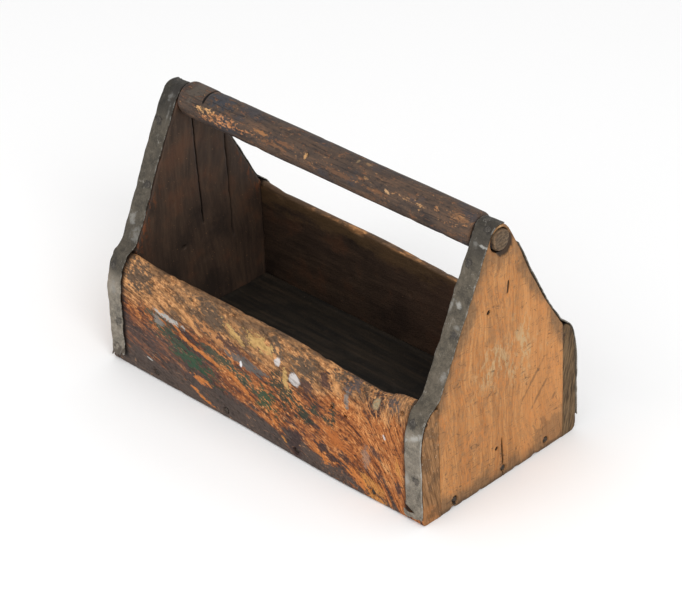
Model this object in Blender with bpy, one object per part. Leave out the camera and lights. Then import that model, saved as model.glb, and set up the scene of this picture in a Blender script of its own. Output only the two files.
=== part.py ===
# Open wooden tool carrier: gabled ends, low worn sides, a tenoned round handle and nailed steel straps.
# Metres, +Z up. The origin is on the ground at the middle, +X runs along the length and -Y is the front.

import math
from collections import namedtuple

import bmesh
import bpy
from mathutils import Matrix, Vector

# Boards
BOX_LENGTH = 0.430
BOX_WIDTH = 0.213
END_THICKNESS = 0.022
FRONT_THICKNESS = 0.023
BACK_THICKNESS = 0.019
BOTTOM_THICKNESS = 0.017
FRONT_HEIGHT = 0.121
BACK_HEIGHT = 0.127
BOARD_EDGE_ROUND = 0.001

# Wear of the front and back boards: the long round on the outer top edge, and how far the top is worn down
ROUND_OVER_DROP = 0.046
INNER_TOP_RADIUS = 0.0025
FRONT_BOTTOM_RADIUS = 0.004
BACK_BOTTOM_RADIUS = 0.008
TOP_WEAR_DEPTH = 0.0035
TOP_WEAR_FADE = 0.030
FRONT_DIP_PLACE = 0.130
FRONT_DIP_REACH = 0.080
FRONT_DIP_DEPTH = 0.006
BACK_DIP_PLACE = 0.110
BACK_DIP_REACH = 0.160
BACK_DIP_DEPTH = 0.006

# Handle, and the crowns of the end boards: their rim round the tenon's hole, and how far they lie to the back
HANDLE_HEIGHT = 0.261
HANDLE_DIAMETER = 0.0345
HANDLE_EDGE_ROUND = 0.004
TENON_DIAMETER = 0.0215
TENON_PROUD = 0.003
TENON_EDGE_ROUND = 0.0015
CROWN_RIM = 0.0024
CROWN_ASIDE = 0.0015

# Straps
STRAP_INSET = 0.0015
STRAP_THICKNESS = 0.0012
STRAP_PAST_CROWN = math.radians(22)
STRAP_LANDING = math.radians(15)
STRAP_KINK_LENGTH = 0.005
FRONT_STRAP_FOOT = 0.006
BACK_STRAP_FOOT = 0.015
BACK_STRAP_START = 0.019

# Nails
SHANK_DIAMETER = 0.0025
NAIL_HEAD_DIAMETER = 0.006
NAIL_HEAD_THICKNESS = 0.0011
NAIL_HEAD_RIM = 0.0006
NAIL_POINT_LENGTH = 0.004
SLOPE_NAIL_LENGTH = 0.025
JOINT_NAIL_LENGTH = 0.038
PIN_NAIL_STOP = 0.003
NAIL_SINK = 0.0003

# Where the nails are: as angles on the crown and the round, and as shares of a strap's width, of the slope
# from its foot, of the flat of a side's face from the ground, and of a half length or width from the middle
STRAP_NAIL_STAGGER = 0.2
FRONT_CROWN_NAILS = (math.radians(88), math.radians(50))
FRONT_SLOPE_NAILS = (0.82, 0.42)
FRONT_FACE_NAILS = (0.66,)
BACK_SLOPE_NAILS = (0.72, 0.40)
BACK_FACE_NAILS = (0.65, 0.26)
ROUND_NAIL = math.radians(45)
CORNER_NAILS = (0.45, 0.86)
END_NAILS = (-0.77, 0.03, 0.72)
SIDE_NAILS = (-0.70, -0.23, 0.23, 0.70)

# Clearances
FIT_GAP = 0.0003
CUTTER_REACH = 0.005

# Facets of the round shapes
HANDLE_SIDES = 24
NAIL_SIDES = 8
ARC_STEPS = 8
SMALL_ARC_STEPS = 3
BOARD_STATIONS = 20
EDGE_SEGMENTS = 2
SHARP_EDGE = math.radians(50)
SMOOTH_BELOW = math.radians(35)

# A side board with its straps. Facing is -1 for the front and 1 for the back.
Side = namedtuple(
    "Side",
    "name facing thickness height bottom_radius dip_place dip_reach dip_depth "
    "strap_foot crown_nails slope_nails face_nails",
)
FRONT = Side(
    "front", -1, FRONT_THICKNESS, FRONT_HEIGHT, FRONT_BOTTOM_RADIUS, FRONT_DIP_PLACE, FRONT_DIP_REACH,
    FRONT_DIP_DEPTH, FRONT_STRAP_FOOT, FRONT_CROWN_NAILS, FRONT_SLOPE_NAILS, FRONT_FACE_NAILS,
)
BACK = Side(
    "back", 1, BACK_THICKNESS, BACK_HEIGHT, BACK_BOTTOM_RADIUS, BACK_DIP_PLACE, BACK_DIP_REACH,
    BACK_DIP_DEPTH, BACK_STRAP_FOOT, (), BACK_SLOPE_NAILS, BACK_FACE_NAILS,
)
SIDES = (FRONT, BACK)
END_NAMES = {-1: "left", 1: "right"}


def new_material(name, colour, roughness, metallic):
    material = bpy.data.materials.new(name)
    material.use_nodes = True
    shader = material.node_tree.nodes["Principled BSDF"]
    shader.inputs["Base Color"].default_value = (*colour, 1.0)
    shader.inputs["Roughness"].default_value = roughness
    shader.inputs["Metallic"].default_value = metallic
    return material


def add_object(name, bm, material=None):
    mesh = bpy.data.meshes.new(name)
    bm.to_mesh(mesh)
    bm.free()
    if material:
        mesh.materials.append(material)
    piece = bpy.data.objects.new(name, mesh)
    bpy.context.scene.collection.objects.link(piece)
    return piece


def add_cutter(name, bm):
    cutter = add_object(name, bm)
    cutter.hide_render = True
    cutter.display_type = "WIRE"
    return cutter


def shade_round(piece):
    piece.data.shade_smooth()
    piece.data.set_sharp_from_angle(angle=SMOOTH_BELOW)


def round_edges(piece):
    bevel = piece.modifiers.new("worn edges", "BEVEL")
    bevel.width = BOARD_EDGE_ROUND
    bevel.segments = EDGE_SEGMENTS
    bevel.limit_method = "ANGLE"
    bevel.angle_limit = SHARP_EDGE


def cut(piece, cutters):
    group = bpy.data.collections.new(piece.name + "_cutters")
    for cutter in cutters:
        group.objects.link(cutter)
    boolean = piece.modifiers.new("holes", "BOOLEAN")
    boolean.operand_type = "COLLECTION"
    boolean.collection = group
    boolean.solver = "EXACT"


def moved_verts(swept):
    return [part for part in swept["geom"] if isinstance(part, bmesh.types.BMVert)]


def extrude_outline(outline, start, end):
    """A solid of the (y, z) outline, from x = start to x = end."""
    bm = bmesh.new()
    face = bm.faces.new([bm.verts.new((start, y, z)) for y, z in outline])
    swept = bmesh.ops.extrude_face_region(bm, geom=[face])
    bmesh.ops.translate(bm, verts=moved_verts(swept), vec=(end - start, 0, 0))
    bmesh.ops.recalc_face_normals(bm, faces=bm.faces)
    return bm


def turned(profile, sides):
    """A solid of the (radius, z) profile turned about Z. The profile starts and ends on the axis."""
    bm = bmesh.new()
    points = [bm.verts.new((radius, 0, z)) for radius, z in profile]
    edges = [bm.edges.new(pair) for pair in zip(points, points[1:])]
    bmesh.ops.spin(
        bm, geom=points + edges, cent=(0, 0, 0), axis=(0, 0, 1), angle=math.tau, steps=sides, use_merge=True
    )
    bmesh.ops.remove_doubles(bm, verts=bm.verts, dist=1e-6)
    bmesh.ops.recalc_face_normals(bm, faces=bm.faces)
    return bm


def polar(angle):
    return Vector((math.cos(angle), math.sin(angle)))


def arc(centre, radius, start, end, steps):
    return [centre + radius * polar(start + (end - start) * step / steps) for step in range(steps + 1)]


# The outline of one side of the box, seen from the end, as (outward, up) points measured from the middle


def tenon_hole_radius():
    return TENON_DIAMETER / 2 + FIT_GAP


def crown_radius():
    return tenon_hole_radius() + CROWN_RIM


def crown_middle(side):
    return Vector((side.facing * CROWN_ASIDE, HANDLE_HEIGHT))


def inner_face(side):
    return BOX_WIDTH / 2 - side.thickness


def flat_height(side):
    return side.height - ROUND_OVER_DROP


def slope_foot(side):
    return Vector((inner_face(side), side.height))


def slope_angle(side):
    """The direction from the slope's foot up to where it touches the crown."""
    to_middle = crown_middle(side) - slope_foot(side)
    return math.atan2(to_middle.y, to_middle.x) - math.asin(crown_radius() / to_middle.length)


def slope_normal_angle(side):
    return slope_angle(side) - math.pi / 2


def slope_length(side):
    to_middle = crown_middle(side) - slope_foot(side)
    return math.sqrt(to_middle.length_squared - crown_radius()**2)


def on_slope(side, distance):
    return slope_foot(side) + distance * polar(slope_angle(side))


def on_round(side, angle):
    """A point of the worn round: angle 0 is its top, and at a right angle the flat face starts."""
    run = side.thickness - INNER_TOP_RADIUS
    centre = Vector((inner_face(side) + INNER_TOP_RADIUS, flat_height(side)))
    return centre + Vector((run * math.sin(angle), ROUND_OVER_DROP * math.cos(angle)))


def round_normal(side, angle):
    run = side.thickness - INNER_TOP_RADIUS
    return Vector((math.sin(angle) / run, math.cos(angle) / ROUND_OVER_DROP)).normalized()


def offset_path(path, distance):
    """The path moved to the left of its direction, with its corners kept."""
    ways = [(after - before).normalized() for before, after in zip(path, path[1:])]
    moved = []
    for point, before, after in zip(path, ways[:1] + ways, ways + ways[-1:]):
        normal = Vector((-before.y, before.x))
        middle = (normal + Vector((-after.y, after.x))).normalized()
        moved.append(point + middle * distance / middle.dot(normal))
    return moved


def strap_path(side):
    """The line that a strap lies on, from its top end to its foot."""
    if side.crown_nails:
        top = math.pi / 2 + STRAP_PAST_CROWN
        path = arc(crown_middle(side), crown_radius(), top, slope_normal_angle(side), ARC_STEPS)
    else:
        path = [on_slope(side, slope_length(side) - BACK_STRAP_START)]
    # A bend carries the strap from the slope out on to the round, tangent to both
    lands = on_round(side, STRAP_LANDING)
    normal = round_normal(side, STRAP_LANDING)
    corner_up = (lands - slope_foot(side)).dot(normal) / polar(slope_angle(side)).dot(normal)
    corner = on_slope(side, corner_up)
    leaves = on_slope(side, corner_up + STRAP_KINK_LENGTH)
    for step in range(SMALL_ARC_STEPS):
        share = step / SMALL_ARC_STEPS
        path.append((1 - share) ** 2 * leaves + 2 * share * (1 - share) * corner + share**2 * lands)
    for step in range(ARC_STEPS + 1):
        path.append(on_round(side, STRAP_LANDING + (math.pi / 2 - STRAP_LANDING) * step / ARC_STEPS))
    path.append(Vector((BOX_WIDTH / 2, side.strap_foot)))
    return path


# Boards


def end_outline():
    front = -inner_face(FRONT) + FIT_GAP
    back = inner_face(BACK) - FIT_GAP
    crown_end = math.pi - slope_normal_angle(FRONT)
    crown = arc(crown_middle(BACK), crown_radius(), slope_normal_angle(BACK), crown_end, ARC_STEPS)
    return [(front, 0.0), (back, 0.0), (back, BACK_HEIGHT), *crown, (front, FRONT_HEIGHT)]


def end_board(end, material):
    outer = end * BOX_LENGTH / 2
    bm = extrude_outline(end_outline(), outer - end * END_THICKNESS, outer)
    board = add_object(END_NAMES[end] + "_end_board", bm, material)
    round_edges(board)
    return board


def tenon_hole(end):
    radius = tenon_hole_radius()
    half = END_THICKNESS / 2 + CUTTER_REACH
    bm = turned([(0.0, half), (radius, half), (radius, -half), (0.0, -half)], HANDLE_SIDES)
    hole = add_cutter(END_NAMES[end] + "_tenon_hole", bm)
    hole.location = (end * (BOX_LENGTH - END_THICKNESS) / 2, 0, HANDLE_HEIGHT)
    hole.rotation_euler = (0, math.pi / 2, 0)
    return hole


def wear_depth(side, x):
    """How far the top is worn down: shallow all along between the ends, and deeper at one dip."""
    to_end = BOX_LENGTH / 2 - END_THICKNESS - abs(x)
    fade = min(max(to_end / TOP_WEAR_FADE, 0.0), 1.0)
    from_dip = min(abs(x - side.dip_place) / side.dip_reach, 1.0)
    dip = side.dip_depth * (1 + math.cos(math.pi * from_dip)) / 2
    return fade * (TOP_WEAR_DEPTH + dip)


def side_outline(side):
    inner = inner_face(side)
    outer = BOX_WIDTH / 2
    radius = side.bottom_radius
    outline = [Vector((inner, 0.0))]
    outline += arc(Vector((outer - radius, radius)), radius, -math.pi / 2, 0, SMALL_ARC_STEPS)
    outline += [on_round(side, math.pi / 2 * (1 - step / ARC_STEPS)) for step in range(ARC_STEPS)]
    corner = Vector((inner + INNER_TOP_RADIUS, side.height - INNER_TOP_RADIUS))
    outline += arc(corner, INNER_TOP_RADIUS, math.pi / 2, math.pi, SMALL_ARC_STEPS)
    return [(side.facing * point.x, point.y) for point in outline]


def side_board(side, material):
    bm = extrude_outline(side_outline(side), -BOX_LENGTH / 2, BOX_LENGTH / 2)
    lengthwise = [edge for edge in bm.edges if edge.verts[0].co.x != edge.verts[1].co.x]
    bmesh.ops.subdivide_edges(bm, edges=lengthwise, cuts=BOARD_STATIONS)
    for vert in bm.verts:
        share = max((vert.co.z - flat_height(side)) / ROUND_OVER_DROP, 0.0)
        vert.co.z -= share * wear_depth(side, vert.co.x)
    board = add_object(side.name + "_board", bm, material)
    shade_round(board)
    round_edges(board)
    return board


def bottom_board(material):
    half = BOX_LENGTH / 2 - END_THICKNESS - FIT_GAP
    front = -inner_face(FRONT) + FIT_GAP
    back = inner_face(BACK) - FIT_GAP
    outline = [(front, 0.0), (back, 0.0), (back, BOTTOM_THICKNESS), (front, BOTTOM_THICKNESS)]
    board = add_object("bottom_board", extrude_outline(outline, -half, half), material)
    round_edges(board)
    return board


# Handle


def rounded_end(radius, top, rounding):
    """The (radius, z) points of a rod's rounded end edge, from its face to its side."""
    centre = Vector((radius - rounding, top - rounding))
    return [tuple(point) for point in arc(centre, rounding, math.pi / 2, 0, SMALL_ARC_STEPS)]


def handle(material):
    shoulder = BOX_LENGTH / 2 - END_THICKNESS - FIT_GAP
    tip = BOX_LENGTH / 2 + TENON_PROUD
    tenon = TENON_DIAMETER / 2
    grip = HANDLE_DIAMETER / 2
    half = [(0.0, tip), *rounded_end(tenon, tip, min(TENON_EDGE_ROUND, TENON_PROUD)), (tenon, shoulder)]
    half += rounded_end(grip, shoulder, min(HANDLE_EDGE_ROUND, (grip - tenon) / 2))
    profile = half + [(radius, -z) for radius, z in reversed(half)]
    rod = add_object("handle", turned(profile, HANDLE_SIDES), material)
    rod.location = (0, 0, HANDLE_HEIGHT)
    rod.rotation_euler = (0, math.pi / 2, 0)
    shade_round(rod)
    return rod


# Straps


def strap_width():
    return END_THICKNESS - STRAP_INSET


def strap(side, end, material):
    bm = bmesh.new()
    outer = end * BOX_LENGTH / 2
    line = offset_path(strap_path(side), FIT_GAP)
    points = [bm.verts.new((outer, side.facing * point.x, point.y)) for point in line]
    edges = [bm.edges.new(pair) for pair in zip(points, points[1:])]
    swept = bmesh.ops.extrude_edge_only(bm, edges=edges)
    bmesh.ops.translate(bm, verts=moved_verts(swept), vec=(-end * strap_width(), 0, 0))
    piece = add_object(f"{side.name}_{END_NAMES[end]}_strap", bm, material)
    shade_round(piece)
    sheet = piece.modifiers.new("sheet", "SOLIDIFY")
    sheet.thickness = STRAP_THICKNESS
    sheet.offset = -side.facing * end
    sheet.use_even_offset = True
    return piece


# Nails


def nail_profile(length, spare):
    """The (radius, z) outline of a wire nail grown by spare, with the underside of its head at z = 0."""
    head = NAIL_HEAD_DIAMETER / 2 + spare
    shank = SHANK_DIAMETER / 2 + spare
    return [
        (0.0, NAIL_HEAD_THICKNESS), (head, NAIL_HEAD_RIM), (head, -spare),
        (shank, -spare), (shank, NAIL_POINT_LENGTH - length), (0.0, -length - spare),
    ]


def hole_profile(length, sunk):
    """The room for a nail: for its shank alone, or also for a head that is sunk into the wood."""
    _, (head, _), head_seat, (shank, seat), *point = nail_profile(length, FIT_GAP)
    if sunk:
        return [(0.0, CUTTER_REACH), (head, CUTTER_REACH), head_seat, (shank, seat), *point]
    return [(0.0, 0.0), (shank, 0.0), *point]


def drive_nail(name, surface, normal, proud, length, material):
    """Adds a nail with its head's underside proud of the surface, or sunk below it. Returns its hole."""
    turn = normal.to_track_quat("Z", "Y").to_matrix().to_4x4()
    place = Matrix.Translation(surface + normal * proud) @ turn
    nail = add_object(name, turned(nail_profile(length, 0.0), NAIL_SIDES), material)
    nail.matrix_world = place
    shade_round(nail)
    hole = add_cutter(name + "_hole", turned(hole_profile(length, proud < 0), NAIL_SIDES))
    hole.matrix_world = place
    return hole


def sunk_nails(prefix, surfaces, normal, material):
    sunk = -NAIL_HEAD_THICKNESS - NAIL_SINK
    return [
        drive_nail(f"{prefix}_nail_{number}", surface, normal, sunk, JOINT_NAIL_LENGTH, material)
        for number, surface in enumerate(surfaces, 1)
    ]


def strap_nails(side, end, material):
    """The holes of one strap's nails: pins of the tenon, those on the slope, those through the side board."""
    proud = 2 * FIT_GAP + STRAP_THICKNESS
    pin_length = proud + crown_radius() - PIN_NAIL_STOP
    pins = []
    for angle in side.crown_nails:
        pins.append((crown_middle(side) + crown_radius() * polar(angle), polar(angle), pin_length))
    slope = []
    for share in side.slope_nails:
        point = on_slope(side, share * slope_length(side))
        slope.append((point, polar(slope_normal_angle(side)), SLOPE_NAIL_LENGTH))
    through = [(on_round(side, ROUND_NAIL), round_normal(side, ROUND_NAIL), JOINT_NAIL_LENGTH)]
    for share in side.face_nails:
        point = Vector((BOX_WIDTH / 2, share * flat_height(side)))
        through.append((point, polar(0), JOINT_NAIL_LENGTH))
    holes = []
    for number, (point, way, length) in enumerate(pins + slope + through, 1):
        stagger = STRAP_NAIL_STAGGER * strap_width() * (-1) ** number
        surface = Vector((end * (BOX_LENGTH - strap_width()) / 2 + stagger, side.facing * point.x, point.y))
        normal = Vector((0, side.facing * way.x, way.y))
        name = f"{side.name}_{END_NAMES[end]}_strap_nail_{number}"
        holes.append(drive_nail(name, surface, normal, proud, length, material))
    slope_start = len(pins)
    through_start = slope_start + len(slope)
    return holes[:slope_start], holes[slope_start:through_start], holes[through_start:]


def main():
    for old in list(bpy.data.objects):
        bpy.data.objects.remove(old)

    worn_paint = new_material("worn_dark_paint", (0.13, 0.065, 0.03), 0.6, 0.0)
    bare_pine = new_material("bare_pine", (0.42, 0.22, 0.10), 0.65, 0.0)
    grimy_pine = new_material("grimy_pine", (0.10, 0.05, 0.03), 0.75, 0.0)
    handle_wood = new_material("handle_wood", (0.19, 0.14, 0.10), 0.55, 0.0)
    strap_steel = new_material("dull_zinc_steel", (0.33, 0.33, 0.33), 0.5, 1.0)
    nail_iron = new_material("rusty_iron", (0.16, 0.10, 0.07), 0.7, 0.6)

    boards = {side: side_board(side, worn_paint) for side in SIDES}
    boards.update({end: end_board(end, bare_pine) for end in END_NAMES})
    bottom = bottom_board(grimy_pine)
    rod = handle(handle_wood)
    board_holes = {place: [] for place in boards}
    bottom_holes = []
    rod_holes = []

    for side in SIDES:
        outward = Vector((0, side.facing, 0))
        face = side.facing * BOX_WIDTH / 2
        surfaces = [Vector((share * BOX_LENGTH / 2, face, BOTTOM_THICKNESS / 2)) for share in SIDE_NAILS]
        into_bottom = sunk_nails(side.name + "_bottom", surfaces, outward, nail_iron)
        board_holes[side] += into_bottom
        bottom_holes += into_bottom
        for end, end_name in END_NAMES.items():
            middle = end * (BOX_LENGTH - END_THICKNESS) / 2
            surfaces = [Vector((middle, face, share * flat_height(side))) for share in CORNER_NAILS]
            corner = sunk_nails(f"{side.name}_{end_name}_corner", surfaces, outward, nail_iron)
            pins, slope, through = strap_nails(side, end, nail_iron)
            cut(strap(side, end, strap_steel), pins + slope + through)
            board_holes[side] += corner + through
            board_holes[end] += corner + pins + slope + through
            rod_holes += pins

    for end, end_name in END_NAMES.items():
        surfaces = []
        for share in END_NAILS:
            half_width = inner_face(FRONT if share < 0 else BACK)
            surfaces.append(Vector((end * BOX_LENGTH / 2, share * half_width, BOTTOM_THICKNESS / 2)))
        into_bottom = sunk_nails(end_name + "_bottom", surfaces, Vector((end, 0, 0)), nail_iron)
        board_holes[end] += [tenon_hole(end), *into_bottom]
        bottom_holes += into_bottom

    for place, board in boards.items():
        cut(board, board_holes[place])
    cut(bottom, bottom_holes)
    cut(rod, rod_holes)


main()
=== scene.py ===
# Old carrying box for tools: worn boards, a rod handle and nailed steel straps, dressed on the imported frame
import math
import random

import bmesh
import bpy
from mathutils import Matrix, Vector, noise
from mathutils.kdtree import KDTree


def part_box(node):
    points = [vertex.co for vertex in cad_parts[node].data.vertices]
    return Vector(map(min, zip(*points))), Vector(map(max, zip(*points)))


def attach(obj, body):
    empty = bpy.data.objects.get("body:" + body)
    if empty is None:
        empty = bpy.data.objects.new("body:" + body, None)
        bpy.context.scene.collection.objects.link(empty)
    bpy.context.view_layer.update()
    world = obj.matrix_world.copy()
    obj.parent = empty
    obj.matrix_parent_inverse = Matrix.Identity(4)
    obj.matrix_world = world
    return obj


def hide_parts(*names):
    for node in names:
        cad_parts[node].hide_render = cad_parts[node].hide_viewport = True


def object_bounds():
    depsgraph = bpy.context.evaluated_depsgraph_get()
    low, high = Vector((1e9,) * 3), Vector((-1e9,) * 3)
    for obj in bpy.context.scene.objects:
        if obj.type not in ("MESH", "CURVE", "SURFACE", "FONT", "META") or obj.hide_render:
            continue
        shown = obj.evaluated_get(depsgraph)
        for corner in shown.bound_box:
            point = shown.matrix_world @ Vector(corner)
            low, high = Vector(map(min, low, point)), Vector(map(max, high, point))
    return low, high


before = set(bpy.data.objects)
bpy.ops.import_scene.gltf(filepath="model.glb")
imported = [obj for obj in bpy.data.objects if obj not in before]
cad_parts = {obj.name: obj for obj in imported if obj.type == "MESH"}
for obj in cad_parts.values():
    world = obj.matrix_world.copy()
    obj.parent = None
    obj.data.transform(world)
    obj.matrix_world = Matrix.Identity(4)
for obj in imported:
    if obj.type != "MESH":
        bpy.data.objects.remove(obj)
cadLow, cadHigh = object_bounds()
scene = bpy.context.scene
print("frame loaded,", len(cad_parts), "nodes")


# Small helpers for shapes

def wobble(co, size, seed=0, stretch=(1, 1, 1)):  # smooth noise from -1 to 1, waves about size long
    return noise.noise(Vector([co[n] / (size * stretch[n]) + seed * (5.3 + 2.9 * n) for n in range(3)]))


def smoothStep(low, high, value):
    share = min(max((value - low) / (high - low), 0.0), 1.0)
    return share * share * (3 - 2 * share)


def polar(angle):
    return Vector((math.cos(angle), math.sin(angle)))


def sliceAt(bm, axis, *places):
    normal = Vector((axis == 0, axis == 1, axis == 2))
    for place in places:
        geom = bm.verts[:] + bm.edges[:] + bm.faces[:]
        bmesh.ops.bisect_plane(bm, geom=geom, dist=1e-6, plane_co=normal * place, plane_no=normal)


def fineAlong(bm, axis, step):  # cuts what is longer than a step into even steps
    spans = {}
    for edge in bm.edges:
        start, stop = sorted(vert.co[axis] for vert in edge.verts)
        if stop - start > 1.5 * step:
            spans.setdefault((round(start, 5), round(stop, 5)), []).append(edge)
    for (start, stop), edges in spans.items():
        cuts = round((stop - start) / step) - 1
        bmesh.ops.subdivide_edges(bm, edges=edges, cuts=cuts, use_grid_fill=True)


# how edges are cut and worn
edgeLook = {
    "rims": (0.0009, 0.0024),  # where a block is cut finer along its edges
    "sharp": 0.8,  # radians between two faces from which their edge wears
    "usual": (0.75, 0.35, 0.025),  # the share of wear everywhere, how much it varies, over what length
    "chips": (0.009, 0.25),  # how long the waves of the chips are, and how high a wave has to be
    "spared": 0.08,  # the share that spared edges get
    "foot": (0.4, 0.004),  # the share that edges by the ground get, up to this height
    "beside": 0.3,  # the share that the points beside an edge get
}


def blockGrid(low, high, step):  # a block of fine squares, finer along its edges
    bm = bmesh.new()
    bmesh.ops.create_cube(bm, size=1)
    bmesh.ops.scale(bm, vec=high - low, verts=bm.verts)
    bmesh.ops.translate(bm, vec=(low + high) / 2, verts=bm.verts)
    for axis in range(3):
        for rim in edgeLook["rims"]:
            sliceAt(bm, axis, low[axis] + rim, high[axis] - rim)
    for axis in range(3):
        fineAlong(bm, axis, step)
    return bm


def refineAround(bm, centre, radius):
    near = [edge for edge in bm.edges if all((vert.co - centre).length < radius for vert in edge.verts)]
    bmesh.ops.subdivide_edges(bm, edges=near, cuts=2, use_grid_fill=True)


def pressIn(bm, centre, radius, depth, way, wall=0.4):  # a pit with steep sides
    for vert in bm.verts:
        away = (vert.co - centre).length
        if away < radius:
            vert.co += way * depth * smoothStep(radius, radius * (1 - wall), away)


# rounds the sharp edges unevenly, those by the ground and the spared ones less
def wearEdges(bm, edge, chip, seed, spared=None):
    look = edgeLook
    usual, vary, wave = look["usual"]
    chipWave, chipStart = look["chips"]
    footShare, footHeight = look["foot"]
    bm.normal_update()
    sharp = {vert for line in bm.edges if line.calc_face_angle(0.0) > look["sharp"] for vert in line.verts}
    depth = {}
    for vert in sharp:
        worn = edge * (usual + vary * wobble(vert.co, wave, seed))
        worn += chip * max(0.0, wobble(vert.co, chipWave, seed + 1) - chipStart)
        if spared and spared(vert.co):
            worn *= look["spared"]
        depth[vert] = worn * (footShare if vert.co.z < footHeight else 1.0)
    for vert in {line.other_vert(vert) for vert in sharp for line in vert.link_edges} - sharp:
        near = [depth[line.other_vert(vert)] for line in vert.link_edges if line.other_vert(vert) in sharp]
        depth[vert] = look["beside"] * max(near)
    for vert, down in depth.items():
        vert.co -= vert.normal * down


# shallow waves in and out: depth, length, stretch, and what each adds to the seed
def roughen(bm, waves, seed):
    bm.normal_update()
    moves = []
    for vert in bm.verts:
        down = sum(deep * wobble(vert.co, size, seed + more, stretch) for deep, size, stretch, more in waves)
        moves.append(vert.normal * down / 2)
    for vert, move in zip(bm.verts, moves):
        vert.co -= move


def scatterDents(bm, count, radii, depths, seed, allowed=None):
    bm.normal_update()
    spots = [vert for vert in bm.verts if allowed is None or allowed(vert.co)]
    tree = KDTree(len(spots))
    for number, vert in enumerate(spots):
        tree.insert(vert.co, number)
    tree.balance()
    luck = random.Random(seed)
    for _ in range(count):
        middle = luck.choice(spots)
        radius = luck.uniform(*radii)
        depth = luck.uniform(*depths)
        way = middle.normal.copy()
        for _, number, away in tree.find_range(middle.co, radius):
            spots[number].co -= way * depth * (1 - (away / radius) ** 2) ** 2


def ageWood(bm, look, seeds, spared=None):  # waves, worn edges and dents, with a seed for each
    roughen(bm, look["waves"], seeds[0])
    wearEdges(bm, look["edge"], look["chip"], seeds[1], spared)
    scatterDents(bm, *look["dents"], seeds[2])


# the bend also drives painted shade in hollows, besides worn edges and grime
def markBends(bm):  # stores how far each point stands out of what is round it, for worn edges and grime
    bm.normal_update()
    bend = bm.verts.layers.float.new("bend")
    raw = {}
    for vert in bm.verts:
        ends = [line.other_vert(vert).co for line in vert.link_edges]
        middle = sum(ends, Vector()) / len(ends)
        reach = sum((end - vert.co).length for end in ends) / len(ends)
        raw[vert] = (vert.co - middle).dot(vert.normal) / reach
    for vert in bm.verts:
        near = [raw[line.other_vert(vert)] for line in vert.link_edges]
        vert[bend] = (raw[vert] + sum(near)) / (1 + len(near))


def closeUp(bm):
    bmesh.ops.remove_doubles(bm, verts=bm.verts, dist=1e-6)
    bmesh.ops.recalc_face_normals(bm, faces=bm.faces)


def drawLine(bm, places):
    points = [bm.verts.new(place) for place in places]
    return [bm.edges.new(pair) for pair in zip(points, points[1:])]


def spinRound(bm, axis, sides):  # a full turn of what is drawn
    geom = bm.verts[:] + bm.edges[:]
    bmesh.ops.spin(bm, geom=geom, cent=(0, 0, 0), axis=axis, angle=math.tau, steps=sides, use_merge=True)
    closeUp(bm)


def fixOrder(bm):  # cutting and merging leave the points in no fixed order, and dents are drawn by it
    for number, vert in enumerate(sorted(bm.verts, key=lambda vert: [round(part, 6) for part in vert.co])):
        vert.index = number
    bm.verts.sort()


def finishPiece(name, bm, material, node):
    for vert in bm.verts:
        vert.co.z = max(vert.co.z, 0.0)
    mesh = bpy.data.meshes.new(name)
    bm.to_mesh(mesh)
    bm.free()
    mesh.shade_smooth()
    mesh.materials.append(material)
    piece = bpy.data.objects.new(name, mesh)
    scene.collection.objects.link(piece)
    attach(piece, "root")
    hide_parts(node)


# Shader building

def tint(red, green, blue):  # a colour as it looks on screen
    return (*(((part / 255 + 0.055) / 1.055) ** 2.4 for part in (red, green, blue)), 1.0)


def dim(colour, share):
    return (*(part * share for part in colour[:3]), 1.0)


class Wire:  # an output that takes part in sums
    def __init__(self, finish, socket):
        self.finish = finish
        self.socket = socket

    def maths(self, operation, *values):
        return self.finish.node("ShaderNodeMath", {"operation": operation}, dict(enumerate(values)))

    def __add__(self, other):
        return self.maths("ADD", self, other)

    def __sub__(self, other):
        return self.maths("SUBTRACT", self, other)

    def __rsub__(self, other):
        return self.maths("SUBTRACT", other, self)

    def __mul__(self, other):
        return self.maths("MULTIPLY", self, other)

    def __pow__(self, other):
        return self.maths("POWER", self, other)

    def __abs__(self):
        return self.maths("ABSOLUTE", self)

    __radd__ = __add__
    __rmul__ = __mul__

    def most(self, other):
        return self.maths("MAXIMUM", self, other)

    def least(self, other):
        return self.maths("MINIMUM", self, other)

    def step(self, low, high):  # 0 at low, 1 at high, smooth between
        sockets = {"Value": self, "From Min": low, "From Max": high}
        return self.finish.node("ShaderNodeMapRange", {"interpolation_type": "SMOOTHSTEP"}, sockets)


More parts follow.
